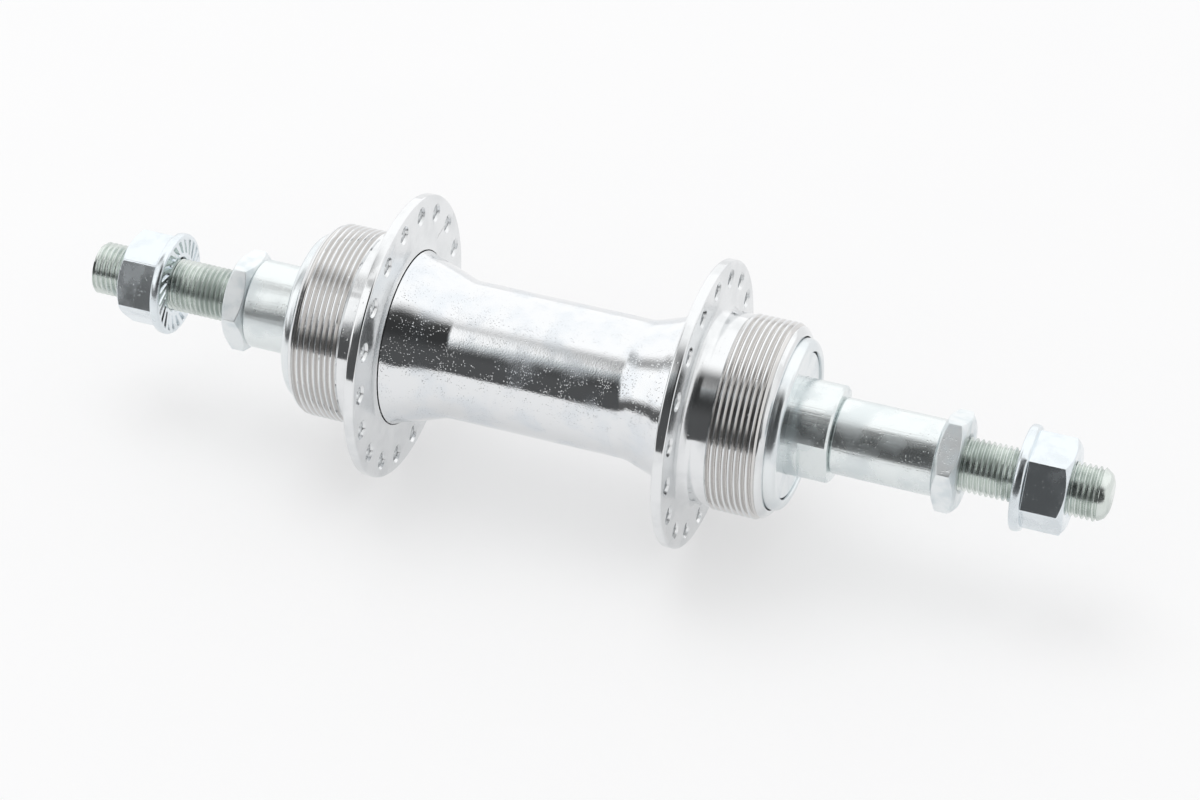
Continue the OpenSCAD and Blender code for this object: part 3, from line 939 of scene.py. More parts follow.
    def flange(self, side: Side) -> None:
        """One flange with its threaded boss and its countersunk spoke holes.

        Args:
            side: The flange's side.
        """
        sizes, shoulder_r = self.sizes, self.shoulder_r
        half, rim_r = sizes.flange_t / 2, self.flange_d / 2 - TOUCH
        root, bore = self.boss_r - self.thread_depth, sizes.cup_r + TOUCH
        rib_r, seat = bore - self.rib_h, (sizes.barrel_seat, sizes.barrel_bore_r, 0)
        sector = TAU / self.spoke_holes
        hole = math.radians(side.pick(self.hole_angles))
        columns = even_columns(self.spoke_holes * self.sector_columns, hole - sector / 2)
        skin = Skin(sizes.flange_x(side), side, columns)
        neck_edge = self.neck_r + self.neck_fillet + self.face_gap
        boss_edge = shoulder_r + self.shoulder_fillet + self.face_gap
        rim_edge = rim_r - self.rim_round - self.rim_gap
        skin.lathe([seat, *self.neck(half), (-half, neck_edge, 0)])
        skin.lathe([(-half, rim_edge, 0), (-half, rim_r, self.rim_round),
                    (half, rim_r, self.rim_round), (half, rim_edge, 0)], steps=6)
        skin.lathe([(half, boss_edge, 0), (half, shoulder_r, self.shoulder_fillet),
                    (half + self.shoulder_len, shoulder_r, 0), (self.thread_x, shoulder_r, 0)],
                   steps=8)
        skin.thread(self.thread_x, sizes.thread_end, sizes.boss_pitch, self.boss_radius,
                    BOSS_THREAD)
        nose, wall, (ahead, rise, step_round) = sizes.boss_chamfer, root - bore, self.nose_step
        skin.lathe([
            (sizes.thread_end, root, 0),
            (sizes.thread_end + ahead * nose, root + rise, step_round),
            *((sizes.boss_end - back * nose, bore + share * wall, rounding)
              for back, share, rounding in self.nose_form),
            (sizes.boss_end, bore + self.mouth, 0.1),
            (sizes.boss_end - self.mouth_depth, bore, 0.1),
            (self.rib_end, bore, 0), (self.rib_end, rib_r, 0), (sizes.barrel_seat, rib_r, 0), seat,
        ])
        self.drilled_plate(skin, -half, neck_edge, rim_edge)
        self.drilled_plate(skin, half, boss_edge, rim_edge)
        self.hole_walls(skin)
        self.workshop.fit(skin, f"{side.word}_threaded_flange", FLANGE_CHROME, Slot.SHELL,
                          CRISP_BOSS)

    @property
    def circle_r(self) -> float:
        """Radius of the circle of spoke holes."""
        return self.flange_d / 2 - self.spoke_edge

    def sector_edge(self, inner_r: float, outer_r: float) -> np.ndarray:
        """Points (radius, angle from the hole) round the edge of one hole's sector.

        Args:
            inner_r: The sector's inner radius.
            outer_r: Its outer radius.

        Returns:
            The points in order, one row each.
        """
        n, m = self.sector_columns, self.sector_rows
        half = TAU / self.spoke_holes / 2
        across, up = np.linspace(-half, half, n + 1), np.linspace(inner_r, outer_r, m + 1)
        return np.concatenate([
            np.stack([np.full(n, outer_r), across[:0:-1]], -1),
            np.stack([up[:0:-1], np.full(m, -half)], -1),
            np.stack([np.full(n, inner_r), across[:-1]], -1),
            np.stack([up[:-1], np.full(m, half)], -1),
        ])

    def hole_directions(self) -> np.ndarray:
        """Finds the directions from a hole's centre to its sector's edge points.

        Returns:
            Unit offsets (radial, sideways), one row each.
        """
        edge = self.sector_edge(self.shoulder_r + self.shoulder_fillet, self.flange_d / 2)
        offset = np.stack([edge[:, 0] * np.cos(edge[:, 1]) - self.circle_r,
                           edge[:, 0] * np.sin(edge[:, 1])], -1)
        return offset / np.linalg.norm(offset, axis=1, keepdims=True)

    def hole_middles(self, skin: Skin) -> list[float]:
        """Angles of a flange's spoke holes."""
        sector = TAU / self.spoke_holes
        return [skin.angles[0] + sector * (i + 0.5) for i in range(self.spoke_holes)]

    @staticmethod
    def collar(count: int, rows: int) -> np.ndarray:
        """Quads between rows of points that each run once round a hole.

        Args:
            count: Points in a row.
            rows: Number of rows.

        Returns:
            The quads.
        """
        ring = np.arange(count)
        after = np.roll(ring, -1)
        first = np.stack([ring, after, after + count, ring + count], -1)
        return np.concatenate([first + count * row for row in range(rows - 1)])

    def drilled_plate(self, skin: Skin, u: float, inner_r: float, outer_r: float) -> None:
        """A flat ring of a flange with a round hole in each of its sectors.

        Args:
            skin: The flange's skin.
            u: The ring's place.
            inner_r: Its inner radius.
            outer_r: Its outer radius.
        """
        edge, x = self.sector_edge(inner_r, outer_r), skin.x0 + skin.side.value * u
        mouth = (self.spoke_hole_d / 2 + self.countersink) * self.hole_directions()
        for middle in self.hole_middles(skin):
            far = np.stack([np.full(len(edge), x), edge[:, 0] * np.cos(middle + edge[:, 1]),
                            edge[:, 0] * np.sin(middle + edge[:, 1])], -1)
            near = self.around_hole(x, middle, mouth)
            skin.patch(np.concatenate([far, near]), self.collar(len(edge), 2))

    def around_hole(self, x: float, middle: float, offsets: np.ndarray) -> np.ndarray:
        """Points at radial and sideways offsets from a hole's centre.

        Args:
            x: Place along the axle.
            middle: The hole's angle.
            offsets: Radial and sideways offsets, one row each.

        Returns:
            The points.
        """
        out, sideways = self.circle_r + offsets[:, 0], offsets[:, 1]
        c, s = math.cos(middle), math.sin(middle)
        return np.stack([np.full(len(offsets), x), out * c - sideways * s,
                         out * s + sideways * c], -1)

    def hole_walls(self, skin: Skin) -> None:
        """The countersinks and bores of a flange's spoke holes.

        Args:
            skin: The flange's skin.
        """
        directions, sink = self.hole_directions(), self.countersink
        half, hole_r = self.sizes.flange_t / 2, self.spoke_hole_d / 2
        line = rounded([(-half, hole_r + sink, 0), (sink - half, hole_r, self.hole_round),
                        (half - sink, hole_r, self.hole_round), (half, hole_r + sink, 0)])
        quads = self.collar(len(directions), len(line))
        for middle in self.hole_middles(skin):
            rows = [self.around_hole(skin.x0 + skin.side.value * u, middle, r * directions)
                    for u, r in line]
            skin.patch(np.concatenate(rows), quads)

    def dust_cap(self, side: Side) -> None:
        """The pressed ring in a boss's mouth, with its edge rolled in towards the shield.

        Args:
            side: The boss's side.
        """
        sizes = self.sizes
        cup_r, face, wall = sizes.cup_r, sizes.dust_cap_face, self.dust_cap_t
        bore = cup_r - sizes.dust_cap_lip
        foot = sizes.cup_end + TOUCH
        skin = Skin(sizes.flange_x(side), side, even_columns(self.columns))
        skin.lathe([
            (foot, cup_r - wall, 0), (foot, cup_r, 0), (face, cup_r, self.dust_cap_round),
            (face, bore, 0.22), (face - wall, bore, 0.1), (face - wall, cup_r - wall, 0.2),
            (foot, cup_r - wall, 0),
        ], steps=10)
        self.workshop.fit(skin, f"{side.word}_dust_cap", CAP_CHROME, Slot.CAP)


@dataclass(frozen=True)
class Hexagon:
    """A nut's outline with rounded corners, in millimetres and radians.

    Both faces of the nut are flat up to face_share of its width and then bevelled.
    """

    width: float
    corner: float
    rounding: float
    face_share: float = 0.96
    corner_steps: int = 8

    @property
    def face_r(self) -> float:
        """Radius of the flat part of a face."""
        return self.face_share * self.width / 2

    @property
    def centre(self) -> float:
        """Distance of a corner rounding's centre from the middle."""
        return (self.width / 2 - self.rounding) / math.cos(SIXTH / 2)

    @property
    def limit(self) -> float:
        """Angle from the middle of a corner to the end of its rounding."""
        r = self.rounding
        return math.atan2(r * math.sin(SIXTH / 2), self.centre + r * math.cos(SIXTH / 2))

    def radii(self, theta: np.ndarray) -> np.ndarray:
        """Gives the outline's radius at each angle.

        Args:
            theta: The angles.

        Returns:
            The radii.
        """
        off = np.abs((theta - self.corner + SIXTH / 2) % SIXTH - SIXTH / 2)
        flat = self.width / 2 / np.cos(SIXTH / 2 - off)
        under = np.clip(self.rounding**2 - (self.centre * np.sin(off)) ** 2, 0, None)
        return np.where(off < self.limit, self.centre * np.cos(off) + np.sqrt(under), flat)

    def bevel(self, radius: float, depth: float) -> float:
        """Gives how far a face's bevel comes down at one radius of the outline.

        Args:
            radius: The radius.
            depth: How far it comes down at a sharp corner.

        Returns:
            The bevel's depth there.
        """
        corner_r = self.width / 2 / math.cos(SIXTH / 2)
        return depth * (radius - self.face_r) / (corner_r - self.face_r)

    def columns(self, count: int, extra: Sequence[float] = ()) -> np.ndarray:
        """Gives angles that follow the rounded corners.

        Args:
            count: Evenly spaced angles to start from.
            extra: More angles that must be there.

        Returns:
            The angles in order, none closer than CLOSEST.
        """
        must = [self.corner + SIXTH * k + self.limit * s
                for k in range(6) for s in np.linspace(-1, 1, self.corner_steps + 1)]
        must = np.sort(np.concatenate([np.array(must), np.array(list(extra), float)]) % TAU)
        keep = list(must)
        for a in even_columns(count):
            gap = np.min(np.abs((must - a + math.pi) % TAU - math.pi))
            if gap > TAU / count / 3:
                keep.append(a)
        angles = np.sort(np.array(keep))
        return angles[np.append(np.diff(angles) > CLOSEST, True)]


@dataclass
class AxleAssembly:
    """The axle with its cones, shields, spacers and locknuts."""

    sizes: HubSizes
    workshop: Workshop
    thread_depth: float = 0.596
    thread_len: float = 66.0
    shank_r: float = 4.45
    run_out: float = 1.0
    tip_r: float = 3.5
    tip_lens: Span = (0.6, 1.6)
    tip_share: float = 0.6
    tip_round: float = 0.15
    dome_rise: float = 0.35
    dome_run_out: float = 0.25
    dome_slope: float = 0.8
    dome_form: tuple[Corner, ...] = ((-0.55, 0.35, 0.9), (0.0, -0.9, 1.2))
    end_bevel: float = 0.4
    bore_bevel: float = 0.3
    left_end_bevel: float = 0.2
    spacer_rs: Span = (8.0, 6.75)
    flats_w: float = 15.0
    flats_len: float = 5.1
    flats_angle: float = 188.0
    flats_step: float = 0.02
    cone_inner: float = 7.3
    nose_depth: float = 0.8
    ball_circle_r: float = 10.4
    ball_inset: float = 10.5
    race_r: float = 3.205
    race_angles: Span = (-20.0, 70.0)
    race_steps: int = 10
    locknut_w: float = 16.0
    locknut_round: float = 0.35
    locknut_bevel: float = 0.9
    locknut_bore_bevel: float = 0.5
    locknut_angles: Span = (47.5, 37.0)
    columns: int = 192
    axle_columns: int = 96
    shield_columns: int = 256

    def build(self) -> None:
        """Builds all pieces on the axle but its nuts."""
        self.axle()
        for side in Side:
            self.cone(side)
            self.shield(side)
            self.spacer(side)
            self.locknut(side)

    def axle(self) -> None:
        """The solid axle, threaded from both ends towards its plain middle."""
        sizes, run_out = self.sizes, self.run_out
        half, crest = sizes.axle_len / 2, sizes.axle_d / 2
        root = crest - self.thread_depth
        skin = Skin(0.0, Side.RIGHT, even_columns(self.axle_columns))
        left_tip, right_tip = self.tip_lens
        starts = (left_tip * self.tip_share - half, half - self.thread_len)
        ends = (self.thread_len - half, half - right_tip)
        dome_r = root + self.dome_rise

        def tip_bevel(u: float | np.ndarray) -> float | np.ndarray:
            """Radius of the left tip's bevel at a place."""
            return self.tip_r + (u + half) * (crest - self.tip_r) / left_tip

        first = min(tip_bevel(starts[0]), root)

        def left_radius(u: np.ndarray, height: np.ndarray) -> np.ndarray:
            """Left thread: bevelled start, run-out to the shank.

            Args:
                u: Places along the axle.
                height: Heights within the thread, from 0 to 1.

            Returns:
                The radii.
            """
            r = np.minimum(root + self.thread_depth * height, tip_bevel(u))
            end = np.clip((u - (ends[0] - run_out)) / run_out, 0, 1)
            return np.maximum(r, first) * (1 - end) + self.shank_r * end

        def right_radius(u: np.ndarray, height: np.ndarray) -> np.ndarray:
            """Right thread: run-out from the shank, dome-high end.

            Args:
                u: Places along the axle.
                height: Heights within the thread, from 0 to 1.

            Returns:
                The radii.
            """
            r = np.minimum(root + self.thread_depth * height,
                           dome_r + self.dome_slope * (ends[1] - u))
            start = np.clip(((starts[1] + run_out) - u) / run_out, 0, 1)
            end = np.clip((u - (ends[1] - self.dome_run_out)) / self.dome_run_out, 0, 1)
            r = r * (1 - end) + dome_r * end
            return r * (1 - start) + self.shank_r * start

        skin.lathe([(-half, 0, 0), (-half, self.tip_r, self.tip_round), (starts[0], first, 0)])
        skin.thread(starts[0], ends[0], sizes.axle_pitch, left_radius, AXLE_THREAD)
        skin.lathe([(ends[0], self.shank_r, 0), (starts[1], self.shank_r, 0)])
        skin.thread(starts[1], ends[1], sizes.axle_pitch, right_radius, AXLE_THREAD)
        dome = [(half + back, self.tip_r + rise, rounding)
                for back, rise, rounding in self.dome_form]
        skin.lathe([(ends[1], dome_r, 0), *dome, (half, 0, 0)], steps=6)
        self.workshop.fit(skin, "axle", AXLE_STEEL, Slot.AXLE, CRISP_THREAD)

    def cone(self, side: Side) -> None:
        """A cone: race and shoulder inside the hub, collar outside, flats on the right one.

        Args:
            side: The cone's side.
        """
        sizes, race_r = self.sizes, self.race_r
        end, back = sizes.cone_end(side), sizes.shield_face - sizes.shield_t
        collar_r, bore = sizes.cone_r, sizes.axle_d / 2 + sizes.thread_gap
        race = [(self.ball_inset + race_r * math.sin(a),
                 self.ball_circle_r - race_r * math.cos(a), 0.0)
                for a in np.radians(np.linspace(*self.race_angles, self.race_steps + 1))]
        first = (self.cone_inner, bore, 0)
        inside = [first, (self.cone_inner, self.ball_circle_r - race_r - self.nose_depth, 0),
                  *race, (back, race[-1][1], 0), (back, collar_r, 0)]
        angle = math.radians(self.flats_angle)
        limit = math.acos(self.flats_w / 2 / collar_r)
        edges = [angle + s * limit + t for s in (-1, 1) for t in (0, math.pi)]
        # Any outline does here: only the edges of the flats must be among the columns
        columns = Hexagon(self.flats_w, 0.3, 0.3).columns(self.columns, edges)

        def corners_at(column: int) -> list[Corner]:
            """The profile of one column of the cone with flats.

            Args:
                column: The column's number.

            Returns:
                Its corners.
            """
            lean = abs(math.cos(columns[column] - angle))
            r = min(collar_r, self.flats_w / 2 / max(lean, 1e-6))
            step = end - self.flats_len
            return [
                *inside, (step, collar_r, 0), (step + self.flats_step, r, 0),
                (end - self.end_bevel, r, 0), (end, min(r, collar_r - self.end_bevel), 0),
                (end, bore + self.bore_bevel, 0), (end - self.bore_bevel, bore, 0), first,
            ]

        if side is Side.RIGHT:
            skin = Skin(sizes.flange_x(side), side, columns)
            skin.sweep(corners_at)
        else:
            bevel = self.left_end_bevel
            skin = Skin(sizes.flange_x(side), side, even_columns(self.columns))
            skin.lathe([*inside, (end - bevel, collar_r, 0), (end, collar_r - bevel, 0),
                        (end, bore, 0), first])
        self.workshop.fit(skin, f"{side.word}_cone", ZINC, Slot.ZINC, CRISP_FLATS)

    def shield(self, side: Side) -> None:
        """The washer on a cone's collar that closes the dust cap's opening.

        Args:
            side: The cone's side.
        """
        sizes = self.sizes
        face, back = sizes.shield_face, sizes.shield_face - sizes.shield_t
        rim = sizes.cup_r - sizes.dust_cap_lip - sizes.shield_gap
        bore = sizes.cone_r + TOUCH
        skin = Skin(sizes.flange_x(side), side, even_columns(self.shield_columns))
        skin.lathe([(back, bore, 0), (back, rim, 0), (face, rim, 0.3), (face, bore, 0.1),
                    (back, bore, 0)])
        self.workshop.fit(skin, f"{side.word}_cone_shield", CAP_CHROME, Slot.ZINC)

    def spacer(self, side: Side) -> None:
        """The tube between a cone and its locknut, with both ends bevelled.

        Args:
            side: The spacer's side.
        """
        sizes, bevel = self.sizes, self.end_bevel
        start = sizes.flange_x(side) + side.value * sizes.cone_end(side)
        length = abs(sizes.locknut_x(side) - start) - sizes.locknut_t
        r, bore = side.pick(self.spacer_rs), sizes.axle_d / 2 + sizes.spacer_gap
        skin = Skin(start, side, even_columns(self.columns))
        skin.lathe([
            (0, bore, 0), (0, r - bevel, 0.1), (bevel, r, 0.25), (length - bevel, r, 0.25),
            (length, r - bevel, 0.1), (length, bore, 0), (0, bore, 0),
        ])
        self.workshop.fit(skin, f"{side.word}_spacer", ZINC, Slot.ZINC)

    def locknut(self, side: Side) -> None:
        """A thin hexagon nut with both faces bevelled.

        Args:
            side: The locknut's side.
        """
        sizes, bevel = self.sizes, self.locknut_bore_bevel
        thick, bore = sizes.locknut_t, sizes.axle_d / 2 + sizes.thread_gap
        corner = math.radians(side.pick(self.locknut_angles))
        outline = Hexagon(self.locknut_w, corner, self.locknut_round)
        columns = outline.columns(self.columns)
        radii = outline.radii(columns)
        face_r, first = outline.face_r, (-thick + bevel, bore, 0)

        def corners_at(column: int) -> list[Corner]:
            """The profile of one column.

            Args:
                column: The column's number.

            Returns:
                Its corners.
            """
            r = float(radii[column])
            cut = outline.bevel(r, self.locknut_bevel)
            return [
                first, (-thick, bore + bevel, 0.08), (-thick, face_r, 0.25),
                (-thick + cut, r, 0.22), (-cut, r, 0.22), (0, face_r, 0.25),
                (0, bore + bevel, 0.08), (-bevel, bore, 0), first,
            ]

        skin = Skin(sizes.locknut_x(side), side, columns)
        skin.sweep(corners_at)
        self.workshop.fit(skin, f"{side.word}_locknut", LOCKNUT_ZINC, Slot.ZINC, CRISP_FLATS)


@dataclass
class AxleNuts:
    """The two nuts that clamp the hub in a frame, each with a toothed flange."""

    sizes: HubSizes
    workshop: Workshop
    width: float = 15.0
    flange_r: float = 9.3
    flange_t: float = 1.8
    teeth: int = 24
    tooth_marks: tuple[float, ...] = (0.0, 0.2, 0.4, 0.5, 0.75)
    tooth_form: tuple[Span, ...] = ((0.0, 0.0), (0.4, 1.0), (0.5, 0.0), (1.0, 0.0))
    tooth_depth: float = 0.4
    tooth_land: float = 1.0
    tooth_rim: float = 0.8
    tooth_slant: float = 14.0
    tooth_leads: Span = (0.1, 0.3)
    rim_rounds: Span = (0.55, 0.8)
    flank_gap: float = 0.05
    twist_end: float = 0.6
    twist_fade: float = 0.4
    bevel: float = 0.9
    entry_bevel: float = 0.4
    exit_bevel: float = 0.45
    rounding: float = 0.4
    corner_angles: Span = (63.8, 60.0)
    columns: int = 120

    def build(self) -> None:
        """Builds both nuts."""
        for side in Side:
            self.nut(side)

    def nut(self, side: Side) -> None:
        """One nut: teeth at place 0, hexagon outboard of its flange.

        Args:
            side: The nut's side.
        """
        sizes, high, flange_t = self.sizes, self.sizes.nut_h, self.flange_t
        entry, leave = self.entry_bevel, self.exit_bevel
        corner = math.radians(side.pick(self.corner_angles))
        bore, tooth = sizes.axle_d / 2 + sizes.thread_gap, TAU / self.teeth
        breaks = [tooth * (i + s) for i in range(self.teeth) for s in self.tooth_marks]
        outline = Hexagon(self.width, corner, self.rounding)
        columns = outline.columns(self.columns, breaks)
        radii = outline.radii(columns)
        groove = self.tooth_depth * np.interp((columns / tooth) % 1.0, *zip(*self.tooth_form))
        inner, rim = bore + self.tooth_land, self.flange_r
        outer, first = rim - self.tooth_rim, (entry, bore, 0)
        slant = math.radians(self.tooth_slant)
        (lead_in, lead_out), (low_round, high_round) = self.tooth_leads, self.rim_rounds

        def corners_at(column: int) -> list[Corner]:
            """The profile of one column.

            Args:
                column: The column's number.

            Returns:
                Its corners.
            """
            r, deep = float(radii[column]), float(groove[column])
            cut = outline.bevel(r, self.bevel)
            return [
                first, (0, bore + entry, 0.05), (0, inner, 0), (deep, inner + lead_in, 0),
                (deep, outer - lead_out, 0), (0, outer, 0), (0, rim, low_round),
                (flange_t, rim, high_round), (flange_t + self.flank_gap, r, 0.12),
                (high - cut, r, 0.25), (high, outline.face_r, 0.25),
                (high, bore + leave, 0.08), (high - leave, bore, 0), first,
            ]

        def twist(lines: np.ndarray) -> np.ndarray:
            """Slants the teeth: full at their inner end, none from the rim on.

            Args:
                lines: Places and radii of all points.

            Returns:
                Each point's extra angle.
            """
            share_out = np.clip((lines[..., 1] - inner) / (outer - inner), 0, 1)
            after = lines[..., 0] - flange_t * self.twist_end
            near = np.clip(1 - after / self.twist_fade, 0, 1)
            return -slant * (1 - share_out) * near

        skin = Skin(sizes.nut_x(side), side, columns)
        skin.sweep(corners_at, twist=twist)
        self.workshop.fit(skin, f"{side.word}_axle_nut", NUT_ZINC, Slot.NUT, CRISP_FLATS)


@dataclass
class Bearings:
    """The cups, balls and retainers, which keep the shape of their solids."""

    workshop: Workshop

    def build(self) -> None:
        """Dresses the solids of both bearings."""
        for side in Side:
            self.workshop.dress(f"{side.word}_bearing_cup", BEARING_STEEL)
            self.workshop.dress(f"{side.word}_bearing_balls", BALL_STEEL)
            self.workshop.dress(f"{side.word}_ball_retainer", BEARING_STEEL)


@dataclass
class Studio:
    """The camera, the floor, the light and what the bright metal mirrors.

    Places of cards and of the camera are in millimetres, the lamp and all spans in metres. A
    span says where a card's shade starts and where it is full.
    """

    floor_z: float = -25.7
    floor_half: float = 6000.0
    floor_colour: float = 0.51
    floor_lift: float = 0.47
    floor_grain: float = 400.0
    floor_tints: tuple[Colour, Colour] = ((0.0, 0.0, 0.004), (0.01, 0.01, 0.014))
    room_light: float = 0.81
    lamp_place: Triple = (-0.35, 0.25, 1.2)
    lamp_size: float = 0.8
    lamp_power: float = 3.2
    camera_place: Triple = (165.03, -453.72, 397.80)
    camera_right: Triple = (0.94139, 0.33732, 0.0)
    camera_down: Triple = (0.21615, -0.60323, -0.76772)
    camera_ahead: Triple = (-0.25897, 0.72273, -0.64078)
    lens: float = 107.19
    sensor_w: float = 36.0
    wall_y: float = -600.0
    back_y: float = 900.0
    ceiling_z: float = 1000.0
    left_x: float = -2500.0
    right_x: float = 1500.0
    corner_x: float = -305.0
    white: float = 1.22
    wall_gap: float = 0.7
    unlit: float = 0.045
    low_dark: float = 0.05
    dark_tint: Colour = (0.96, 0.98, 1.0)
    # A brighter bluish patch painted into the mirrored dark room, high up near its left end:
    # painted reflected light
    curtain_tint: Colour = (0.9, 0.98, 1.0)
    curtain_x: Span = (-0.34, -0.16)
    curtain_z: Span = (0.36, 0.72)
    curtain_level: float = 0.8
    low_dark_z: Span = (0.25, 0.6)
    skirt_z: Span = (0.12, 0.28)
    skirt_level: float = 0.12
    edge_x: Span = (-0.36, -0.31)
    edge_z: Span = (0.4, 0.5)
    edge_loss: float = 0.3
    wall_white: float = 1.2
    ceiling_dark: float = 0.06
    gap_y: tuple[Span, Span] = ((-0.28, -0.02), (0.02, 0.35))
    gap_x: Span = (-0.4, -0.36)
    gap_loss: float = 0.65
    strip_y: tuple[Span, Span] = ((-0.37, -0.3), (-0.24, -0.15))
    strip_x: tuple[Span, Span] = ((-0.43, -0.39), (-0.36, -0.33))
    strip_loss: float = 0.5
    lit_y: Span = (-0.42, 0.0)
    lit_x: Span = (-0.4, -0.16)

    def build(self) -> None:
        """Sets up the whole studio."""
        self.camera()
        self.world()
        self.floor()
        self.lamp()
        self.dark_room()
        self.softbox()
        bpy.context.scene.view_settings.view_transform = "Standard"

    def camera(self) -> None:
        """Places the camera where the picture was taken from."""
        data = bpy.data.cameras.new("camera")
        data.lens, data.sensor_width, data.sensor_fit = self.lens, self.sensor_w, "HORIZONTAL"
        data.clip_start, data.clip_end = 0.01, 50.0
        made = bpy.data.objects.new("camera", data)
        axes = Matrix([self.camera_right, [-c for c in self.camera_down],
                       [-c for c in self.camera_ahead]]).transposed()
        made.matrix_world = Matrix.Translation(Vector(self.camera_place) * MM) @ axes.to_4x4()
        bpy.context.scene.collection.objects.link(made)
        bpy.context.scene.camera = made

    @staticmethod
    def seen(board: Board) -> Socket:
        """Tells the rays that see the background from those that only light the hub.

        Args:
            board: The material's board.

        Returns:
            One for camera, glossy and transmission rays, zero for others.
        """
        path = board.node("ShaderNodeLightPath")
        both = board.math("MAXIMUM", path.outputs["Is Camera Ray"], path.outputs["Is Glossy Ray"])
        return board.math("MAXIMUM", both, path.outputs["Is Transmission Ray"])

    def world(self) -> None:
        """A white room: full white where it is seen, a little less as light."""
        made = bpy.data.worlds.new("white room")
        made.use_nodes = True
        board = Board(made.node_tree)
        light = self.room_light
        strength = board.math("MULTIPLY_ADD", self.seen(board), 1 - light, light)
        back = board.node("ShaderNodeBackground", {"Color": (1, 1, 1, 1), "Strength": strength})
        board.node("ShaderNodeOutputWorld", {"Surface": back.outputs[0]})
        bpy.context.scene.world = made

    def card(self, name: str, corners: Sequence[Corner],
             material: Material) -> bpy.types.Object:
        """Adds a flat card that belongs to the studio.

        Args:
            name: The card's name.
            corners: Its four corners in order, in millimetres.
            material: Its material.

        Returns:
            The card.
        """
        mesh = bpy.data.meshes.new(name)
        mesh.from_pydata([Vector(c) * MM for c in corners], [], [(0, 1, 2, 3)])
        mesh.materials.append(material)
        made = bpy.data.objects.new(name, mesh)
        bpy.context.scene.collection.objects.link(made)
        return made

    def floor(self) -> None:
        """The pale floor, which keeps the hub's shadow."""
        made = bpy.data.materials.new("pale floor")
        made.use_nodes = True
        board = Board(made.node_tree)
        noise = board.node("ShaderNodeTexNoise", {"Scale": self.floor_grain, "Detail": 2.0})
        tint = board.blend(noise.outputs["Fac"], *(
            tuple(self.floor_colour + extra for extra in tint) for tint in self.floor_tints))
        matt = board.node("ShaderNodeBsdfDiffuse", {"Color": tint})
        lift = board.node("ShaderNodeEmission", {
            "Color": (1, 1, 1, 1),
            "Strength": board.math("MULTIPLY", self.seen(board), self.floor_lift)})
        both = board.node("ShaderNodeAddShader", {0: matt.outputs[0], 1: lift.outputs[0]})
        board.node("ShaderNodeOutputMaterial", {"Surface": both.outputs[0]})
        wide, z = self.floor_half, self.floor_z
        self.card("floor", [(-wide, -wide, z), (wide, -wide, z), (wide, wide, z),
                            (-wide, wide, z)], made)

    def lamp(self) -> None:
        """One large soft lamp above and behind the hub."""
        data = bpy.data.lights.new("soft lamp", "AREA")
        data.shape, data.size, data.energy = "SQUARE", self.lamp_size, self.lamp_power
        made = bpy.data.objects.new("soft lamp", data)
        made.location = self.lamp_place
        aim = Vector((0, 0, 0)) - made.location
        made.rotation_mode = "QUATERNION"
        made.rotation_quaternion = aim.to_track_quat("-Z", "Y")
        made.visible_glossy = False
        bpy.context.scene.collection.objects.link(made)

    def mirrored_only(self, card: bpy.types.Object) -> None:
        """Shows a card to the metal's reflections and to nothing else."""
        card.visible_camera = card.visible_diffuse = card.visible_shadow = False
        card.visible_transmission = card.visible_volume_scatter = False

    def glow(self, name: str) -> tuple[Material, Board, Node]:
        """Starts a material that only shines.

        Args:
            name: The material's name.

        Returns:
            The material, its board and a node that splits the place.
        """
        made = bpy.data.materials.new(name)
        made.use_nodes = True
        board = Board(made.node_tree)
        place = board.node("ShaderNodeTexCoord").outputs["Object"]
        return made, board, board.node("ShaderNodeSeparateXYZ", {"Vector": place})

    def shine(self, board: Board, strength: object, colour: object = (1, 1, 1, 1)) -> None:
        """Ends a shining material with its colour and strength."""
        made = board.node("ShaderNodeEmission", {"Color": colour, "Strength": strength})
        board.node("ShaderNodeOutputMaterial", {"Surface": made.outputs[0]})

    def front_card(self, name: str, start_x: float, end_x: float,
                   material: Material) -> None:
        """Stands a mirrored card in front of the hub.

        Args:
            name: The card's name.
            start_x: Where it starts along the axle.
            end_x: Where it ends.
            material: Its material.
        """
        y, low, high = self.wall_y, self.floor_z + self.wall_gap, self.ceiling_z
        self.mirrored_only(self.card(name, [
            (start_x, y, low), (end_x, y, low), (end_x, y, high), (start_x, y, high)], material))

    def dark_room(self) -> None:
        """Painted reflections of the unlit room in front of the hub and of a white wall beside it,
        as glowing cards that only the metal mirrors.
        """
        made, board, split = self.glow("dark room")
        x, z = split.outputs["X"], split.outputs["Z"]
        # Painted reflected light: a brighter bluish patch high up near the dark room's left end
        bright_patch = board.math("MULTIPLY", board.ramp(x, *self.curtain_x, 1.0, 0.0),
                             board.ramp(z, *self.curtain_z))
        level = board.math("MULTIPLY_ADD", board.ramp(z, *self.low_dark_z, 1.0, 0.0),
                           self.low_dark, self.unlit)
        level = board.math("MULTIPLY_ADD", bright_patch, self.curtain_level, level)
        self.shine(board, level, board.blend(bright_patch, self.dark_tint, self.curtain_tint))
        self.front_card("dark_wall", self.corner_x, self.right_x, made)
        made, board, split = self.glow("white wall")
        x, z = split.outputs["X"], split.outputs["Z"]
        level = board.math("MULTIPLY_ADD", board.ramp(z, *self.skirt_z),
                           self.wall_white - self.skirt_level, self.skirt_level)
        edge = board.math("MULTIPLY", board.ramp(x, *self.edge_x), board.ramp(z, *self.edge_z))
        self.shine(board, board.math("MULTIPLY_ADD", edge, -self.edge_loss, level))
        self.front_card("white_wall", self.left_x, self.corner_x, made)

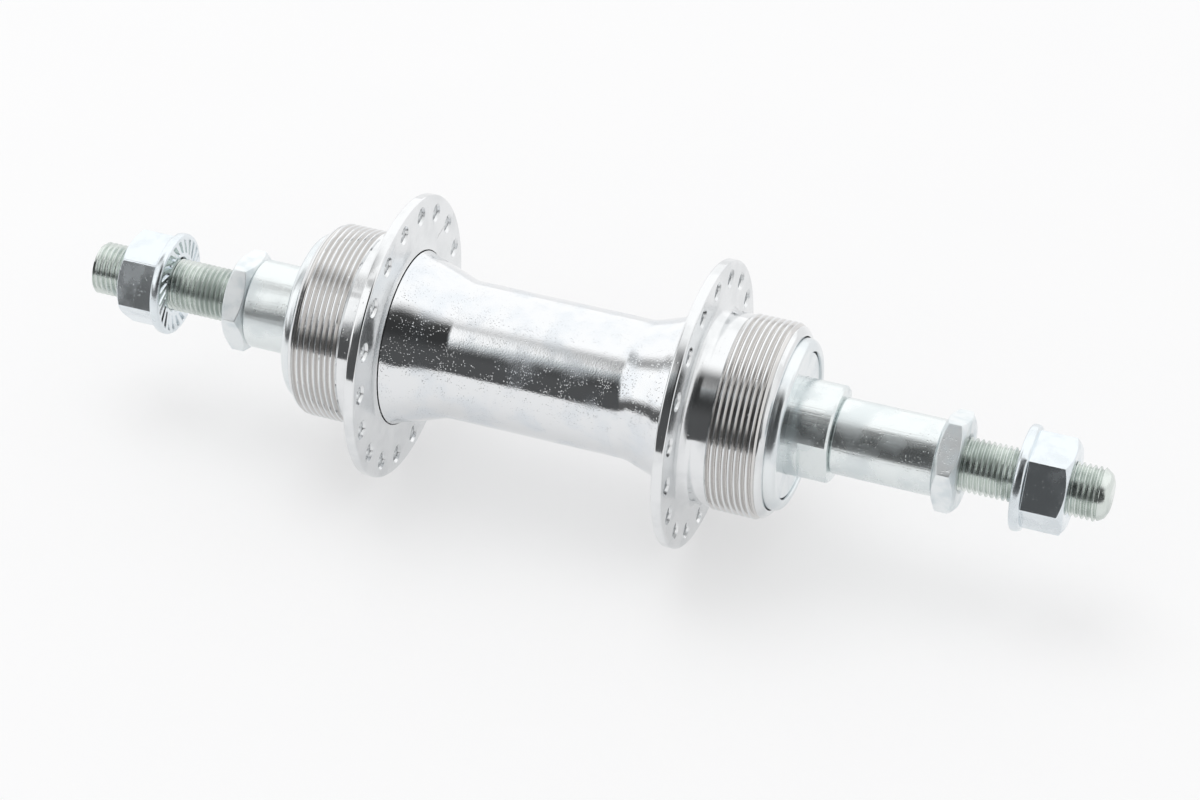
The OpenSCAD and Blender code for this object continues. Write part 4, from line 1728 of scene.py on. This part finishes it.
    def softbox(self) -> None:
        """Painted reflections of a white ceiling over the hub and of a white wall behind it.

        Both are glowing cards that light nothing and show only in the metal. The ceiling is unlit
        next to the dark room and has a dull gap over the hub's left end.
        """
        made, board, split = self.glow("white ceiling")
        x, y = split.outputs["X"], split.outputs["Y"]

        def dull(rise: Span, fall: Span, side: Socket) -> Socket:
            """A dull strip across the ceiling.

            Args:
                rise: Where it starts across the axle.
                fall: Where it ends.
                side: How dull it is along the axle.

            Returns:
                The strip's mask.
            """
            across = board.math("MULTIPLY", board.ramp(y, *rise), board.ramp(y, *fall, 1.0, 0.0))
            return board.math("MULTIPLY", across, side)

        lit = board.math("MAXIMUM", board.ramp(y, *self.lit_y),
                         board.ramp(x, *self.lit_x, 1.0, 0.0))
        gap = dull(*self.gap_y, board.ramp(x, *self.gap_x, self.gap_loss, 0.0))
        start, end = self.strip_x
        strip = dull(*self.strip_y, board.math("MULTIPLY", board.ramp(x, *start), board.ramp(
            x, *end, self.strip_loss, 0.0)))
        bright = board.math("SUBTRACT", 1.0, board.math("MAXIMUM", gap, strip))
        level = board.math("MULTIPLY_ADD", lit, self.white - self.ceiling_dark, self.ceiling_dark)
        self.shine(board, board.math("MULTIPLY", level, bright))
        left, right, high, back = self.left_x, self.right_x, self.ceiling_z, self.back_y
        self.mirrored_only(self.card("white_ceiling", [
            (left, self.wall_y, high), (right, self.wall_y, high), (right, back, high),
            (left, back, high)], made))
        made, board, _ = self.glow("white back wall")
        self.shine(board, self.white)
        self.mirrored_only(self.card("white_back_wall", [
            (left, back, 0), (right, back, 0), (right, back, high), (left, back, high)], made))


def main() -> None:
    """Builds the studio and the hub, sub-assembly by sub-assembly."""
    logging.basicConfig(level=logging.INFO, format="%(name)s: %(message)s")
    sizes = HubSizes()
    workshop = Workshop(FinishShop(sizes))
    Studio().build()
    for assembly in (HubShell(sizes, workshop), AxleAssembly(sizes, workshop),
                     AxleNuts(sizes, workshop), Bearings(workshop)):
        LOG.info("building %s", type(assembly).__name__)
        assembly.build()


if __name__ == "__main__":
    main()
